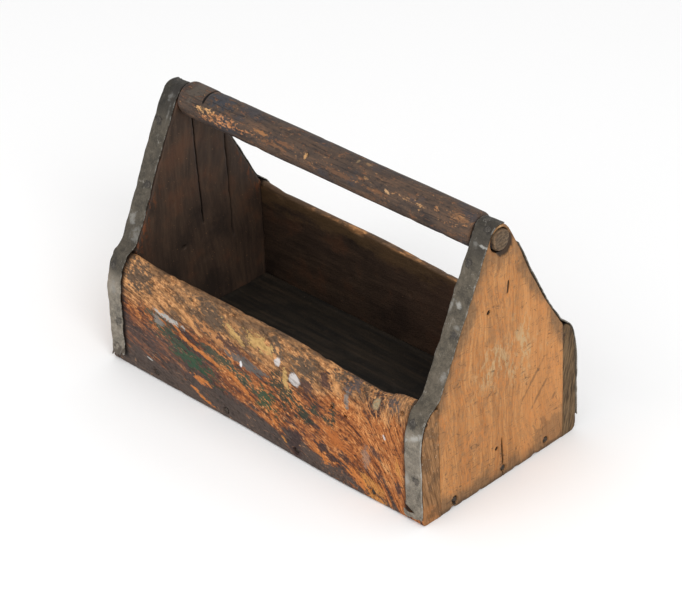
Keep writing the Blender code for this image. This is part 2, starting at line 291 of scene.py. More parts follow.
class Finish:
    def __init__(self, name):
        self.material = bpy.data.materials.new(name)
        self.material.use_nodes = True
        self.tree = self.material.node_tree
        self.shader = self.tree.nodes["Principled BSDF"]
        self.place = self.node("ShaderNodeTexCoord", output="Object")
        self.x, self.y, self.z = (
            self.node("ShaderNodeSeparateXYZ", {}, {"Vector": self.place}, axis) for axis in range(3)
        )
        self.bend = self.node("ShaderNodeAttribute", {"attribute_name": "bend"}, output="Fac")

    def node(self, kind, settings=None, sockets=None, output=0):
        made = self.tree.nodes.new(kind)
        for key, value in (settings or {}).items():
            if key == "stops":
                self.setStops(made.color_ramp, value)
            else:
                setattr(made, key, value)
        self.fill(made, sockets or {})
        return Wire(self, made.outputs[output])

    def fill(self, made, sockets):
        for key, value in sockets.items():
            if isinstance(value, Wire):
                self.tree.links.new(value.socket, made.inputs[key])
            else:
                made.inputs[key].default_value = value

    def setStops(self, ramp, stops):
        while len(ramp.elements) < len(stops):
            ramp.elements.new(1.0)
        for element, (place, colour) in zip(ramp.elements, stops):
            element.position = place
            element.color = colour

    def ramp(self, factor, *stops):
        return self.node("ShaderNodeValToRGB", {"stops": stops}, {"Fac": factor})

    def blend(self, first, second, factor, mode="MIX"):
        settings = {"data_type": "RGBA", "blend_type": mode}
        return self.node("ShaderNodeMix", settings, {0: factor, 6: first, 7: second}, 2)

    def join(self, x, y, z):
        return self.node("ShaderNodeCombineXYZ", {}, {"X": x, "Y": y, "Z": z})

    def drawn(self, vector, scale, turn=(0, 0, 0), shift=(0, 0, 0)):
        sockets = {"Vector": vector, "Location": shift, "Rotation": turn, "Scale": scale}
        return self.node("ShaderNodeMapping", {}, sockets)

    def cloud(self, vector, scale, detail=4.0, rough=0.55):
        sockets = {"Vector": vector, "Scale": scale, "Detail": detail, "Roughness": rough}
        return self.node("ShaderNodeTexNoise", {}, sockets)

    def oval(self, middle, half, turn, ragged, soft=0.12):  # 1 inside a turned oval, with a ragged rim
        sockets = {"Vector": self.place, "Location": middle, "Rotation": turn, "Scale": half}
        inside = self.node("ShaderNodeMapping", {"vector_type": "TEXTURE"}, sockets)
        reach = self.node("ShaderNodeVectorMath", {"operation": "LENGTH"}, {0: inside}, "Value")
        return (reach + ragged).step(1 + soft, 1 - soft)

    def line(self, value, width):  # 1 along the middle of a noise, as a thin line
        return abs(value - 0.5).step(width, 0.0)

    def finish(self, colour, roughness, height, deep, metallic=0.0, shine=0.25):
        bump = self.node("ShaderNodeBump", {}, {"Height": height, "Distance": deep, "Strength": 0.8})
        self.fill(self.shader, {"Base Color": colour, "Roughness": roughness, "Metallic": metallic})
        self.fill(self.shader, {"Specular IOR Level": shine, "Normal": bump})
        return self.material


def darkInside(f, vector, seed, share):  # grimy old wood inside the box, share is how light it is
    moved = f.drawn(vector, (1, 1, 1), shift=(seed, seed * 0.7, seed * 1.3))
    streak = f.cloud(moved, 210, 6, 0.62)
    patch = f.cloud(f.drawn(f.place, (1, 1, 1), shift=(seed, 0, seed)), 22, 5, 0.6)
    stops = ((0.34, tint(50, 38, 31)), (0.5, tint(66, 51, 41)), (0.66, tint(82, 64, 50)))
    colour = f.ramp(streak * 0.6 + patch * 0.4, *((place, dim(shade, share)) for place, shade in stops))
    colour = f.blend(colour, dim(tint(98, 60, 40), share), patch.step(0.52, 0.70) * 0.4)
    colour = f.blend(colour, dim(tint(42, 34, 29), share), patch.step(0.47, 0.32) * 0.6)
    crumbs = f.cloud(f.drawn(f.place, (1, 1, 1), shift=(0, seed, seed)), 640, 2)
    return f.blend(colour, dim(tint(160, 120, 84), share), crumbs.step(0.70, 0.76) * 0.7)


# The side boards

boardLook = {
    "roundDrop": 0.046,  # how far down the outer top edge is worn round
    "innerRound": 0.0025,
    "topWear": 0.0035,
    "wearFade": 0.030,
    "endThick": 0.022,
    "tenonProud": 0.003,
    "bowHeight": 0.07,
    "waves": [(0.0005, 0.010, (7, 1, 1), 0), (0.0006, 0.045, (2, 1, 1), 3), (0.0002, 0.004, (3, 1, 1), 5)],
    "edge": 0.0009,
    "chip": 0.0012,
    "spared": (0.002, 0.19),  # edges this near the inner face and this far from the middle stay sharp
    "lip": 0.014,
    "lipDents": (30, (0.005, 0.012), (0.0003, 0.0010)),  # how many, their radii, their depths
}
frontLook = boardLook | {
    "node": "front_board",
    "facing": -1,
    "seed": 1,
    "step": 0.0017,
    "bottomRound": 0.003,
    "dip": (0.145, 0.130, 0.030, 0.0070),  # where it is, its reach to the left and to the right, its depth
    "bow": (0.09, 0.13, 0.0025),  # where the foot bows out, how far to each side, how deep
    "pits": [(0.0992, 0.0815, 0.0013), (0.1173, 0.0786, 0.0013), (0.184, 0.1093, 0.0015)],  # x, z, radius
    "dents": (70, (0.003, 0.009), (0.0003, 0.0011)),
}
backLook = boardLook | {
    "node": "back_board",
    "facing": 1,
    "seed": 2,
    "step": 0.0019,
    "bottomRound": 0.008,
    "dip": (0.110, 0.160, 0.160, 0.006),
    "bow": (0.0, 0.10, 0.0),
    "pits": [(-0.06, 0.070, 0.0013), (0.13, 0.088, 0.0014)],
    "dents": (60, (0.003, 0.009), (0.0003, 0.0011)),
}
cornerTurn = math.radians(40)  # where a block's outer top edge comes to lie on the worn round


def roundPoint(look, thick, height, angle):
    inset = look["innerRound"]
    flat = height - look["roundDrop"]
    return Vector((inset + (thick - inset) * math.sin(angle), flat + look["roundDrop"] * math.cos(angle)))


def roundedTop(look, thick, height, across, rise):  # a block's top bent to the worn round
    inset = look["innerRound"]
    flat = height - look["roundDrop"]

    def top(share):
        split = inset / thick
        if share < split:
            return Vector((inset, height - inset)) + inset * polar(math.pi - share / split * math.pi / 2)
        return roundPoint(look, thick, height, cornerTurn * (share - split) / (1 - split))

    def bottom(share):
        return Vector((share * thick, flat))

    outer = roundPoint(look, thick, height, math.pi / 2 - (math.pi / 2 - cornerTurn) * rise)
    inner = Vector((0.0, flat + rise * (look["roundDrop"] - inset)))
    corners = (1 - rise) * ((1 - across) * bottom(0) + across * bottom(1))
    corners += rise * ((1 - across) * top(0) + across * top(1))
    return (1 - rise) * bottom(across) + rise * top(across) + (1 - across) * inner + across * outer - corners


def roundedFoot(look, thick, across, up):  # the outer bottom edge
    radius = look["bottomRound"]
    middle = Vector((thick - radius, radius))
    away = Vector((across, up)) - middle
    if away.x <= 0 or away.y >= 0:
        return Vector((across, up))
    return middle + away.normalized() * max(away.x, -away.y)


def topWear(look, x):
    fromEnd = cadHigh.x - look["tenonProud"] - look["endThick"] - abs(x)
    fade = min(max(fromEnd / look["wearFade"], 0.0), 1.0)
    place, leftReach, rightReach, deep = look["dip"]
    away = (x - place) / rightReach if x > place else (place - x) / leftReach
    return fade * (look["topWear"] + deep * (1 + math.cos(math.pi * min(away, 1.0))) / 2)


def bowOut(look, x, up):
    place, reach, deep = look["bow"]
    return deep * smoothStep(reach, 0, abs(x - place)) * smoothStep(look["bowHeight"], 0, up)


# nail holes and pits: how far round them the mesh is finer, their radius or its share, their depth
holeLook = {"fine": 0.006, "radius": 0.0037, "depth": 0.0019, "wall": 0.25}
pitLook = {"fine": 0.005, "spread": 1.4, "depth": 0.004}


def bottomNails(look):  # the middles of the nails that hold a board to the bottom
    start = look["node"].split("_")[0] + "_bottom_nail"
    boxes = [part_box(node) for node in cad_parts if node.startswith(start)]
    return [(low + high) / 2 for low, high in boxes]


def nailHole(bm, middle, way, bow=0.0):
    refineAround(bm, middle, holeLook["fine"])
    pressIn(bm, middle, holeLook["radius"], holeLook["depth"] + bow, way, holeLook["wall"])


def smallPit(bm, middle, radius, way):
    refineAround(bm, middle, pitLook["fine"])
    pressIn(bm, middle, radius * pitLook["spread"], pitLook["depth"], way)


def sideBoard(look, material):
    low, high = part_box(look["node"])
    bm = blockGrid(low, high, look["step"])
    facing, seed = look["facing"], look["seed"]
    inner = high.y if facing < 0 else low.y
    thick, height = high.y - low.y, high.z
    flat = height - look["roundDrop"]
    for vert in bm.verts:
        across, up = (vert.co.y - inner) * facing, vert.co.z
        if up > flat:
            across, up = roundedTop(look, thick, height, across / thick, (up - flat) / look["roundDrop"])
            up -= (up - flat) / look["roundDrop"] * topWear(look, vert.co.x)
        else:
            across, up = roundedFoot(look, thick, across, up)
        vert.co.y, vert.co.z = inner + facing * (across + bowOut(look, vert.co.x, up)), up
    inward = Vector((0, -facing, 0))
    for middle in bottomNails(look):
        bow = bowOut(look, middle.x, middle.z)
        middle.y = inner + facing * (thick + bow)
        nailHole(bm, middle, inward, bow)
    for x, z, radius in look["pits"]:
        share = max(min((z - flat) / look["roundDrop"], 1.0), 0.0)
        across = roundPoint(look, thick, height, math.acos(share)).x if share else thick
        smallPit(bm, Vector((x, inner + facing * across, z)), radius, inward)
    near, far = look["spared"]
    ageWood(bm, look, (seed, seed, seed), lambda co: abs(co.y - inner) < near and abs(co.x) > far)
    scatterDents(bm, *look["lipDents"], seed + 9, lambda co: co.z > height - look["lip"])
    markBends(bm)
    finishPiece(look["node"].replace("_b", "B"), bm, material, look["node"])
    print(look["node"], "shaped")


paintShades = {
    "leaf": tint(48, 81, 58), "dullGreen": tint(54, 63, 51), "moss": tint(66, 76, 61),
    "orange": tint(207, 127, 64), "paleOrange": tint(216, 156, 100), "ochre": tint(206, 141, 72),
    "rust": tint(188, 110, 54), "tan": tint(196, 136, 86),
    "oldFinish": tint(66, 51, 49), "brown": tint(83, 60, 54),
    "dust": tint(92, 77, 64), "slate": tint(84, 77, 76),
    "white": tint(236, 238, 240), "offWhite": tint(212, 207, 205), "chalk": tint(186, 185, 180),
    "cream": tint(205, 166, 105), "grey": tint(106, 102, 98), "dullGrey": tint(137, 129, 121),
    "pinkGrey": tint(158, 124, 104), "olive": tint(166, 150, 118),
}
# paint and stains on the front: x, z, half length, half height in mm, degrees down to the right, shade
frontPaint = {
    "green": [
        (-97, 50, 25, 9, 20, "leaf"), (-128, 67, 20, 8, 24, "moss"), (10, 49, 12, 10, 10, "leaf"),
        (36, 69, 14, 10, 20, "dullGreen"), (76, 67, 4, 8, 0, "dullGreen"), (92, 65, 3.4, 7, 0, "dullGreen"),
        (101, 70, 3, 9, 0, "dullGreen"), (-50, 66, 22, 7, 14, "moss"), (-20, 58, 16, 6, 18, "moss"),
        (60, 56, 12, 6, 20, "dullGreen"),
    ],
    "orange": [
        (-84, 64, 26, 2.2, 11, "orange"), (-93, 91, 12, 2.2, 30, "paleOrange"),
        (-84, 11, 15, 2, 22, "orange"), (-82, 30, 11, 3, 8, "orange"),
        (130, 18, 18, 5, 30, "orange"), (151, 17, 15, 5, 20, "ochre"),
        (158, 4, 11, 4, 10, "ochre"), (106, 44, 19, 7, 25, "rust"), (-112, 76, 13, 2, 35, "orange"),
        (-30, 52, 17, 2.4, 28, "orange"), (-60, 90, 22, 5, 16, "tan"), (86, 20, 14, 3, 24, "orange"),
        (165, 98, 9, 3, 35, "paleOrange"), (101, 102, 8, 3, 45, "paleOrange"),
        (167, 46, 7, 2.8, 42, "paleOrange"), (168, 30, 6, 2.4, 40, "paleOrange"),
        (184, 50, 2.4, 10, -8, "ochre"), (20, 28, 7, 2.2, 50, "orange"), (34, 14, 4, 1.6, 40, "ochre"),
    ],
    "dark": [
        (49, 19, 9, 18, 8, "oldFinish"), (97, 24, 9, 5, 14, "oldFinish"), (115, 32, 9, 4.5, 14, "oldFinish"),
        (84, 31, 7, 5, 20, "oldFinish"), (87, 102, 7, 7, 0, "brown"), (100, 112, 10, 5, 10, "dust"),
        (117, 109, 9, 7, 14, "slate"), (170, 112, 9, 5.5, 10, "slate"), (141, 115, 12, 6, 14, "dust"),
        (67, 89, 9, 6, 20, "brown"), (160, 31, 7, 5, 30, "brown"), (156, 55, 8, 5, 40, "brown"),
        (183, 29, 4, 7, 0, "brown"), (20, 108, 12, 6, 14, "dust"), (-176, 108, 18, 11, 20, "dust"),
        (-70, 108, 22, 7, 16, "dust"), (58, 106, 13, 9, 14, "dust"), (-36, 88, 16, 5, 14, "brown"),
        (151, 104.3, 9, 9.6, 0, "oldFinish"),
    ],
    "smear": [
        (-125, 83, 20, 2.6, 6, "chalk"), (-35, 101.5, 14, 3, 18, "cream"), (-1, 105, 17, 5, 8, "cream"),
        (-18, 79, 23, 5, 4, "grey"), (117, 94, 2.6, 6, -20, "dullGrey"), (-140, 74, 7, 4, 20, "dullGrey"),
        (143, 46, 5, 11, 0, "pinkGrey"), (38, 84, 3, 9, -10, "cream"),
    ],
    "drop": [
        (-22.7, 75.5, 2, 3.6, 0, "white"), (25.7, 97.8, 4, 4, 0, "offWhite"),
        (49.7, 89, 7, 5.5, 30, "offWhite"), (151, 104.3, 4.4, 5, 0, "olive"),
        (167.4, 78.3, 1.3, 3.4, -30, "offWhite"), (-158, 22, 4, 0.9, 12, "chalk"),
    ],
}
paintLook = {
    "face": -0.1065,  # where the front's face lies, in y
    "deep": 0.024,
    "soft": 0.2,
    "dim": 0.92,
    "cover": 0.88,
    "ragged": {  # how far the rims follow the chips and the flecks
        "green": (8.5, 4.0), "orange": (5.5, 2.4), "dark": (5.0, 1.4),
        "smear": (3.8, 2.8), "drop": (1.3, 1.0),
    },
}


def paintedMarks(f, colour, parts):
    look = paintLook
    for kind, marks in frontPaint.items():
        byChips, byFlecks = look["ragged"][kind]
        ragged = (parts["chips"] - 0.5) * byChips + (parts["flecks"] - 0.5) * byFlecks
        for x, z, halfLong, halfHigh, tilt, shade in marks:
            middle = (x / 1000, look["face"], z / 1000)
            half = (halfLong / 1000, look["deep"], halfHigh / 1000)
            place = f.oval(middle, half, (0, math.radians(tilt), 0), ragged, look["soft"])
            colour = f.blend(colour, dim(paintShades[shade], look["dim"]), place * look["cover"])
    return colour


def wornBoard(f, slant, shift):  # old dark finish, rubbed off in streaks and chips down to the wood
    grainPlace = f.drawn(f.join(f.x, f.y, f.z + slant), (1, 1, 1), shift=shift)
    return {
        "left": f.cloud(f.drawn(grainPlace, (0.18, 1, 1)), 170, 6, 0.68),
        "chips": f.cloud(f.drawn(grainPlace, (0.38, 1, 1), shift=(3, 1, 2)), 270, 5, 0.7),
        "flecks": f.cloud(f.drawn(grainPlace, (0.5, 1, 1), shift=(1, 4, 2)), 480, 3, 0.6),
        "streak": f.cloud(f.drawn(grainPlace, (0.07, 1, 1)), 260, 5, 0.62),
        "fibre": f.cloud(f.drawn(grainPlace, (0.03, 1, 1)), 640, 3, 0.6),
        "patch": f.cloud(f.drawn(grainPlace, (0.35, 1, 1), shift=(2, 2, 5)), 70, 4, 0.6),
        "blotch": f.cloud(grainPlace, 24, 3),
    }


# wear says how much wood shows, and the masks which kind
def rubbedColour(f, parts, wear, high, right, foot):
    flecks, patch = parts["flecks"], parts["patch"]
    grain = parts["streak"] * 0.5 + patch * 0.25 + flecks * 0.25
    bare = (parts["left"] + wear * 0.3).step(0.44, 0.54)
    bright = (parts["chips"] * 0.65 + parts["left"] * 0.35 + wear * 0.3).step(0.555, 0.625)
    rubbed = (flecks + wear * 0.2).step(0.62, 0.68) * patch.step(0.44, 0.56)
    mixed = flecks * 0.5 + patch * 0.5
    old = f.ramp(mixed, (0.36, tint(51, 38, 37)), (0.5, tint(75, 55, 50)), (0.64, tint(106, 74, 60)))
    oldHigh = f.ramp(mixed, (0.36, tint(82, 63, 49)), (0.5, tint(110, 86, 65)), (0.64, tint(136, 107, 80)))
    oldFoot = f.ramp(mixed, (0.36, tint(52, 45, 43)), (0.5, tint(74, 64, 58)), (0.64, tint(100, 80, 66)))
    wood = f.ramp(grain, (0.38, tint(84, 49, 32)), (0.5, tint(128, 75, 45)), (0.62, tint(162, 102, 61)))
    amber = f.ramp(grain, (0.38, tint(84, 43, 24)), (0.5, tint(142, 79, 40)), (0.62, tint(178, 112, 58)))
    tan = f.ramp(grain, (0.38, tint(108, 76, 50)), (0.5, tint(146, 104, 67)), (0.62, tint(178, 131, 87)))
    chip = f.ramp(flecks, (0.36, tint(154, 88, 46)), (0.64, tint(200, 129, 72)))
    chipHigh = f.ramp(flecks, (0.36, tint(164, 112, 70)), (0.64, tint(208, 154, 104)))
    wood = f.blend(f.blend(wood, amber, right), tan, high)
    colour = f.blend(f.blend(f.blend(old, oldHigh, high), oldFoot, foot), wood, bare)
    colour = f.blend(colour, f.blend(chip, chipHigh, high), bright)
    colour = f.blend(colour, tint(216, 156, 98), rubbed * 0.65)
    return f.blend(colour, tint(52, 33, 27), parts["fibre"].step(0.44, 0.36) * 0.6)


# the end grain, the dark inner face, grime and painted shade in hollows, and painted shade under and beside
# the straps
def boardEdges(f, colour, parts, endGrain, innerFace, seed):
    inside = darkInside(f, f.drawn(f.place, (0.1, 1, 1)), seed, 0.66)
    inside = f.blend(inside, tint(92, 66, 52), f.x.step(-0.05, 0.15) * 0.4)
    rim = (f.z + (parts["patch"] - 0.5) * 0.05 + (parts["flecks"] - 0.5) * 0.02).step(0.098, 0.116)
    inside = f.blend(inside, tint(92, 70, 45), rim * 0.55)
    colour = f.blend(f.blend(colour, inside, innerFace), endGrain, abs(f.x).step(0.2138, 0.2146))
    # grime and painted shade in dents, pits and nail holes
    colour = f.blend(colour, tint(30, 24, 20), f.bend.step(-0.10, -0.30) * 0.8)
    # painted shade under the straps and in a soft band beside their inner edges
    under = abs(f.x).step(0.188, 0.1945) * abs(f.x).step(0.2146, 0.2138) * f.z.step(0.005, 0.013)
    colour = f.blend(colour, tint(22, 18, 15), under * (1 - innerFace) * 0.9)
    height = parts["streak"] * 0.4 + parts["fibre"] * 0.25 + parts["chips"] * 0.5 + parts["flecks"] * 0.15
    return f.finish(colour, 0.5 + parts["chips"] * 0.3, height, 0.0012, shine=0.14)


def frontFinish():
    f = Finish("wornFrontBoard")
    slant = f.x * 0.25 + (f.x - 0.12).most(0.0) ** 2 * 13  # the grain dives towards the right end
    parts = wornBoard(f, slant, (0, 0, 0))

    # where the board is worn most and least
    chips, flecks, patch, blotch = parts["chips"], parts["flecks"], parts["patch"], parts["blotch"]
    right = (f.x + (blotch - 0.5) * 0.12).step(0.055, 0.125)
    foot = f.z + (parts["left"] - 0.5) * 0.05 + (patch - 0.5) * 0.05 + (f.x - 0.06).most(0.0) * 0.24
    foot = foot.step(0.034, 0.018)
    high = (f.z + (blotch - 0.5) * 0.04 + (chips - 0.5) * 0.03 - right * 0.014).step(0.076, 0.092)
    lip = f.z.step(0.106, 0.116)
    lowLeft = f.z.step(0.075, 0.045) * f.x.step(-0.04, -0.09)
    wear = (patch - 0.5) * 1.2 + (blotch - 0.5) * 0.8 + right * 0.2 - foot * 0.6 - lowLeft * 0.2
    wear = wear - high * right * 0.15 + 0.08 + f.x.step(-0.11, -0.15) * f.z.step(0.045, 0.065) * 0.15

    # colour, paint and scratches
    colour = rubbedColour(f, parts, wear, high, right, foot)
    colour = f.blend(colour, tint(88, 75, 69), lowLeft.most(foot) * 0.4)
    dull = f.ramp(parts["streak"] * 0.5 + patch * 0.5, (0.38, tint(84, 65, 49)), (0.62, tint(140, 106, 76)))
    colour = f.blend(colour, dull, lip * (chips + blotch).step(1.12, 0.95) * 0.6)
    colour = paintedMarks(f, colour, parts)
    scratch = f.line(f.cloud(f.drawn(f.place, (9, 40, 60), (0, 0.45, 0)), 1.0, 2), 0.006)
    colour = f.blend(colour, tint(206, 154, 108), scratch * flecks.step(0.45, 0.6) * 0.5)
    fine = flecks * 0.5 + parts["streak"] * 0.5
    grit = f.ramp(fine, (0.38, tint(200, 196, 192)), (0.52, tint(255, 255, 255)))
    colour = f.blend(colour, grit, 0.9, "MULTIPLY")
    crumbs = f.cloud(f.drawn(f.place, (0.8, 1, 1), (0, 0.3, 0)), 420, 4, 0.65)
    colour = f.blend(colour, tint(60, 38, 28), crumbs.step(0.56, 0.62) * right * (0.75 - high * 0.5))
    colour = f.blend(colour, tint(176, 112, 62), crumbs.step(0.43, 0.37) * right * 0.55)

    # end grain
    ring = f.cloud(f.join(f.x, f.y * 1.6 + f.z * 0.35, f.z * 0.12), 420, 4, 0.6)
    endGrain = f.ramp(ring, (0.35, tint(100, 70, 44)), (0.5, tint(134, 97, 62)), (0.66, tint(160, 120, 82)))
    endGrain = f.blend(endGrain, tint(166, 108, 60), blotch.step(0.5, 0.62) * 0.4)
    endGrain = f.blend(endGrain, tint(88, 66, 46), patch.step(0.50, 0.60) * 0.6)
    endGrain = f.blend(endGrain, tint(204, 188, 166), flecks.step(0.66, 0.72) * 0.8)
    inner = (f.y - (f.z - 0.106).most(0.0) * 0.2).step(-0.0875, -0.0858)
    return boardEdges(f, colour, parts, endGrain, inner, 3.1)


def backFinish():
    f = Finish("wornBackBoard")
    parts = wornBoard(f, f.x * -0.06, (1.7, 0.4, 0.9))
    blotch, chips = parts["blotch"], parts["chips"]
    right = (blotch - 0.5).step(0.05, 0.15)
    foot = (f.z + (parts["left"] - 0.5) * 0.05 + (blotch - 0.5) * 0.07).step(0.034, 0.020)
    high = (f.z + (blotch - 0.5) * 0.04 + (chips - 0.5) * 0.03).step(0.080, 0.098)
    wear = (parts["patch"] - 0.5) * 1.2 + (blotch - 0.5) * 0.8 - foot * 0.6 - 0.15
    colour = rubbedColour(f, parts, wear, high, right * 0.4, foot)
    lip = f.z.step(0.112, 0.122)
    colour = f.blend(colour, tint(78, 60, 44), lip * (chips + blotch).step(1.12, 0.95) * 0.8)
    ring = f.cloud(f.join(f.x, f.y * 1.4 - f.z * 0.3, f.z * 0.15), 380, 4, 0.6)
    endGrain = f.ramp(ring, (0.36, tint(58, 44, 30)), (0.5, tint(96, 76, 53)), (0.66, tint(122, 98, 70)))
    inner = (f.y + (f.z - 0.111).most(0.0) * 0.2).step(0.0905, 0.0888)
    return boardEdges(f, colour, parts, endGrain, inner, 5.3)


# The gabled ends

endLook = {
    "middle": 0.204,  # where the middle of the boards' thickness lies, in x
    "step": 0.0017,
    "thickStep": 0.0022,
    "crownSteps": 12,
    "shortest": 0.00035,  # shorter edges are merged
    "onSkin": 0.0001,  # how near a face a point belongs to it
    "holeRadius": 0.0122,
    "holeAside": (0.0010, -0.0012),  # the hole is worn wider below and behind the tenon
    # the worn hollow's place and radius also place the tenon's painted shadow on the outer face
    "wornHole": (0.0072, -0.0080, 0.0118, 0.0012),  # a hollow worn beside the hole: y, z, radius, depth
    "wornSoft": 0.0008,
    "notched": (0.005, 0.004),  # how far in and how far up the notches go
    "waves": [(0.0003, 0.007, (1, 1, 12), 0), (0.0006, 0.050, (1, 1, 2), 3), (0.00015, 0.004, (1, 1, 4), 5)],
    "edge": 0.0009,
    "chip": 0.0010,
    "spared": 0.002,  # edges this near the side boards stay sharp
    "dents": (60, (0.003, 0.008), (0.0002, 0.0008)),
}
# where a gable's damage starts and is full: upwards, downwards, then towards the front or the back
bulgePlace = ((0.160, 0.210), (0.273, 0.258), (-0.007, -0.015))
hollowPlace = ((0.130, 0.170), (0.250, 0.205), (0.012, 0.026))
# a crack: which skin (1 outer, -1 inner), its y in the middle, lowest and highest z, lean, depth, half width
# a notch in the bottom edge: y, half width, depth, and a pit: which skin, y, z, radius
leftLook = {
    "node": "left_end_board",
    "end": -1,
    "seed": 11,
    "squash": 0.0030,
    "bulge": 0.0024,
    "hollow": 0.0,
    "cracks": [
        (-1, 0.0444, 0.080, 0.212, -0.02, 0.0040, 0.0005), (-1, 0.0046, 0.112, 0.244, -0.041, 0.0035, 0.0005),
        (1, -0.031, 0.000, 0.075, 0.02, 0.0035, 0.0006), (1, 0.018, 0.150, 0.250, -0.03, 0.0030, 0.0006),
    ],
    "notches": [(-0.050, 0.006, 0.0020), (0.030, 0.005, 0.0016)],
    "pits": [(-1, -0.021, 0.0984, 0.0016), (1, 0.040, 0.110, 0.0014)],
}
rightLook = {
    "node": "right_end_board",
    "end": 1,
    "seed": 12,
    "squash": 0.0,
    "bulge": 0.0,
    "hollow": 0.0030,
    "cracks": [
        (1, 0.0017, 0.008, 0.046, -0.028, 0.0030, 0.0005), (1, 0.01225, 0.197, 0.2125, 0.108, 0.0035, 0.0011),
        (-1, -0.038, 0.010, 0.150, 0.02, 0.0040, 0.0006),
    ],
    "notches": [
        (-0.067, 0.005, 0.0026), (0.047, 0.006, 0.0018), (-0.030, 0.004, 0.0012), (0.020, 0.005, 0.0012),
    ],
    "pits": [(1, -0.0145, 0.1899, 0.0014), (1, -0.0059, 0.0348, 0.0013)],
}
crackLook = {
    "reach": (0.015, 0.002),  # how far to each side the grain bends with a crack, and bends fully
    "past": 0.012,  # how far beyond its ends
    "tip": (0.010, 0.25),  # the longest taper of its ends, and its share of a short crack
    "footed": 0.012,  # a crack that starts below this height runs out at the foot
    "wander": [(0.0011, 0.022, 4), (0.0004, 0.005, 6)],  # depth, wave length, seed
}
rodLow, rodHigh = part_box("handle")
rodHeight = (rodLow.z + rodHigh.z) / 2
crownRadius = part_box("left_end_board")[1].z - rodHeight
crownAside = 0.0020  # the gables' tops lie a little behind the handle's axis


def slopeOf(facing):  # a gable slope's foot as (outward, up), the angle of the way up it, and its length
    low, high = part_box("front_board" if facing < 0 else "back_board")
    foot = Vector((-high.y if facing < 0 else low.y, high.z))
    toCrown = Vector((facing * crownAside, rodHeight)) - foot
    angle = math.atan2(toCrown.y, toCrown.x) - math.asin(crownRadius / toCrown.length)
    return foot, angle, math.sqrt(toCrown.length_squared - crownRadius**2)


# cuts off what lies beyond a line seen from the end, angle is the way it faces
def trim(bm, out, height, angle):
    geom = bm.verts[:] + bm.edges[:] + bm.faces[:]
    place, normal = (0, out, height), (0, *polar(angle))
    bmesh.ops.bisect_plane(bm, geom=geom, dist=1e-6, plane_co=place, plane_no=normal, clear_outer=True)


def gableSheet(look, low, high):
    bm = bmesh.new()
    span = high - low
    across, up = round(span.y / endLook["step"]), round(span.z / endLook["step"])
    turn = Matrix(((0, 0, 1), (1, 0, 0), (0, 1, 0))).to_4x4()
    bmesh.ops.create_grid(bm, x_segments=across, y_segments=up, size=0.5, matrix=turn)
    bmesh.ops.scale(bm, vec=(1, span.y, span.z), verts=bm.verts)
    outer = high.x if look["end"] > 0 else low.x
    bmesh.ops.translate(bm, vec=(outer, (low.y + high.y) / 2, (low.z + high.z) / 2), verts=bm.verts)
    sliceAt(bm, 2, edgeLook["rims"][0])
    frontFoot, frontAngle, _ = slopeOf(-1)
    backFoot, backAngle, _ = slopeOf(1)
    frontNormal = math.pi - (frontAngle - math.pi / 2)
    backNormal = backAngle - math.pi / 2
    trim(bm, -frontFoot.x, frontFoot.y, frontNormal)
    trim(bm, backFoot.x, backFoot.y, backNormal)
    for number in range(1, endLook["crownSteps"]):
        angle = backNormal + (frontNormal - backNormal) * number / endLook["crownSteps"]
        touch = Vector((crownAside, rodHeight)) + crownRadius * polar(angle)
        trim(bm, touch.x, touch.y, angle)
    bmesh.ops.dissolve_degenerate(bm, edges=bm.edges, dist=endLook["shortest"])
    for crack in look["cracks"]:
        sliceAt(bm, 1, *(crack[1] + aside * crack[-1] for aside in (-1, -0.4, 0.4, 1)))
    return bm


def cutTenonHole(bm):
    middle = Vector((0.0, rodHeight)) + Vector(endLook["holeAside"])
    radius = endLook["holeRadius"]
    outline = {vert for edge in bm.edges if edge.is_boundary for vert in edge.verts}
    inside = [face for face in bm.faces if (face.calc_center_median().yz - middle).length < radius]
    bmesh.ops.delete(bm, geom=inside, context="FACES")
    for vert in {vert for edge in bm.edges if edge.is_boundary for vert in edge.verts} - outline:
        vert.co.yz = middle + (vert.co.yz - middle).normalized() * radius


def openCrack(bm, look, crack, skins):
    skin, place, lowest, highest, lean, depth, half = crack
    reach, fully = crackLook["reach"]
    longest, tipShare = crackLook["tip"]
    past = crackLook["past"]
    tip = min(longest, (highest - lowest) * tipShare)
    for vert in bm.verts:
        aside = vert.co.y - place
        if abs(aside) > reach or abs(vert.co.x - skins[skin]) > endLook["onSkin"]:
            continue
        z = vert.co.z
        above = 1.0 if lowest < crackLook["footed"] else smoothStep(0, tip, z - lowest)
        taper = above * smoothStep(0, tip, highest - z)
        if abs(aside) < half * 0.5:
            uneven = 0.8 + 0.3 * wobble(vert.co, 0.01, look["seed"])
            vert.co.x -= skin * look["end"] * depth * taper * uneven
        wander = lean * (z - (lowest + highest) / 2)
        for deep, size, seed in crackLook["wander"]:
            wander += deep * wobble(Vector((place, 0, z)), size, seed)
        fade = smoothStep(reach, fully, abs(aside)) * smoothStep(0.0, 0.006, z)
        fromBelow = smoothStep(-past, 0.0, z - lowest)
        fromAbove = smoothStep(-past, 0.0, highest - z)
        vert.co.y += wander * fade * fromBelow * fromAbove


def damageAt(co, places):
    up, down, across = places
    return smoothStep(*up, co.z) * smoothStep(*down, co.z) * smoothStep(*across, co.y)


# the left gable's top is beaten a little flat and stands out in front below it
# the right one's back slope is hollow
def beaten(co):
    gable = leftLook if co.x < 0 else rightLook
    down = gable["squash"] * smoothStep(rodHeight, rodHeight + crownRadius, co.z)
    forward = gable["bulge"] * damageAt(co, bulgePlace) + gable["hollow"] * damageAt(co, hollowPlace)
    return Vector((0, -forward, -down))


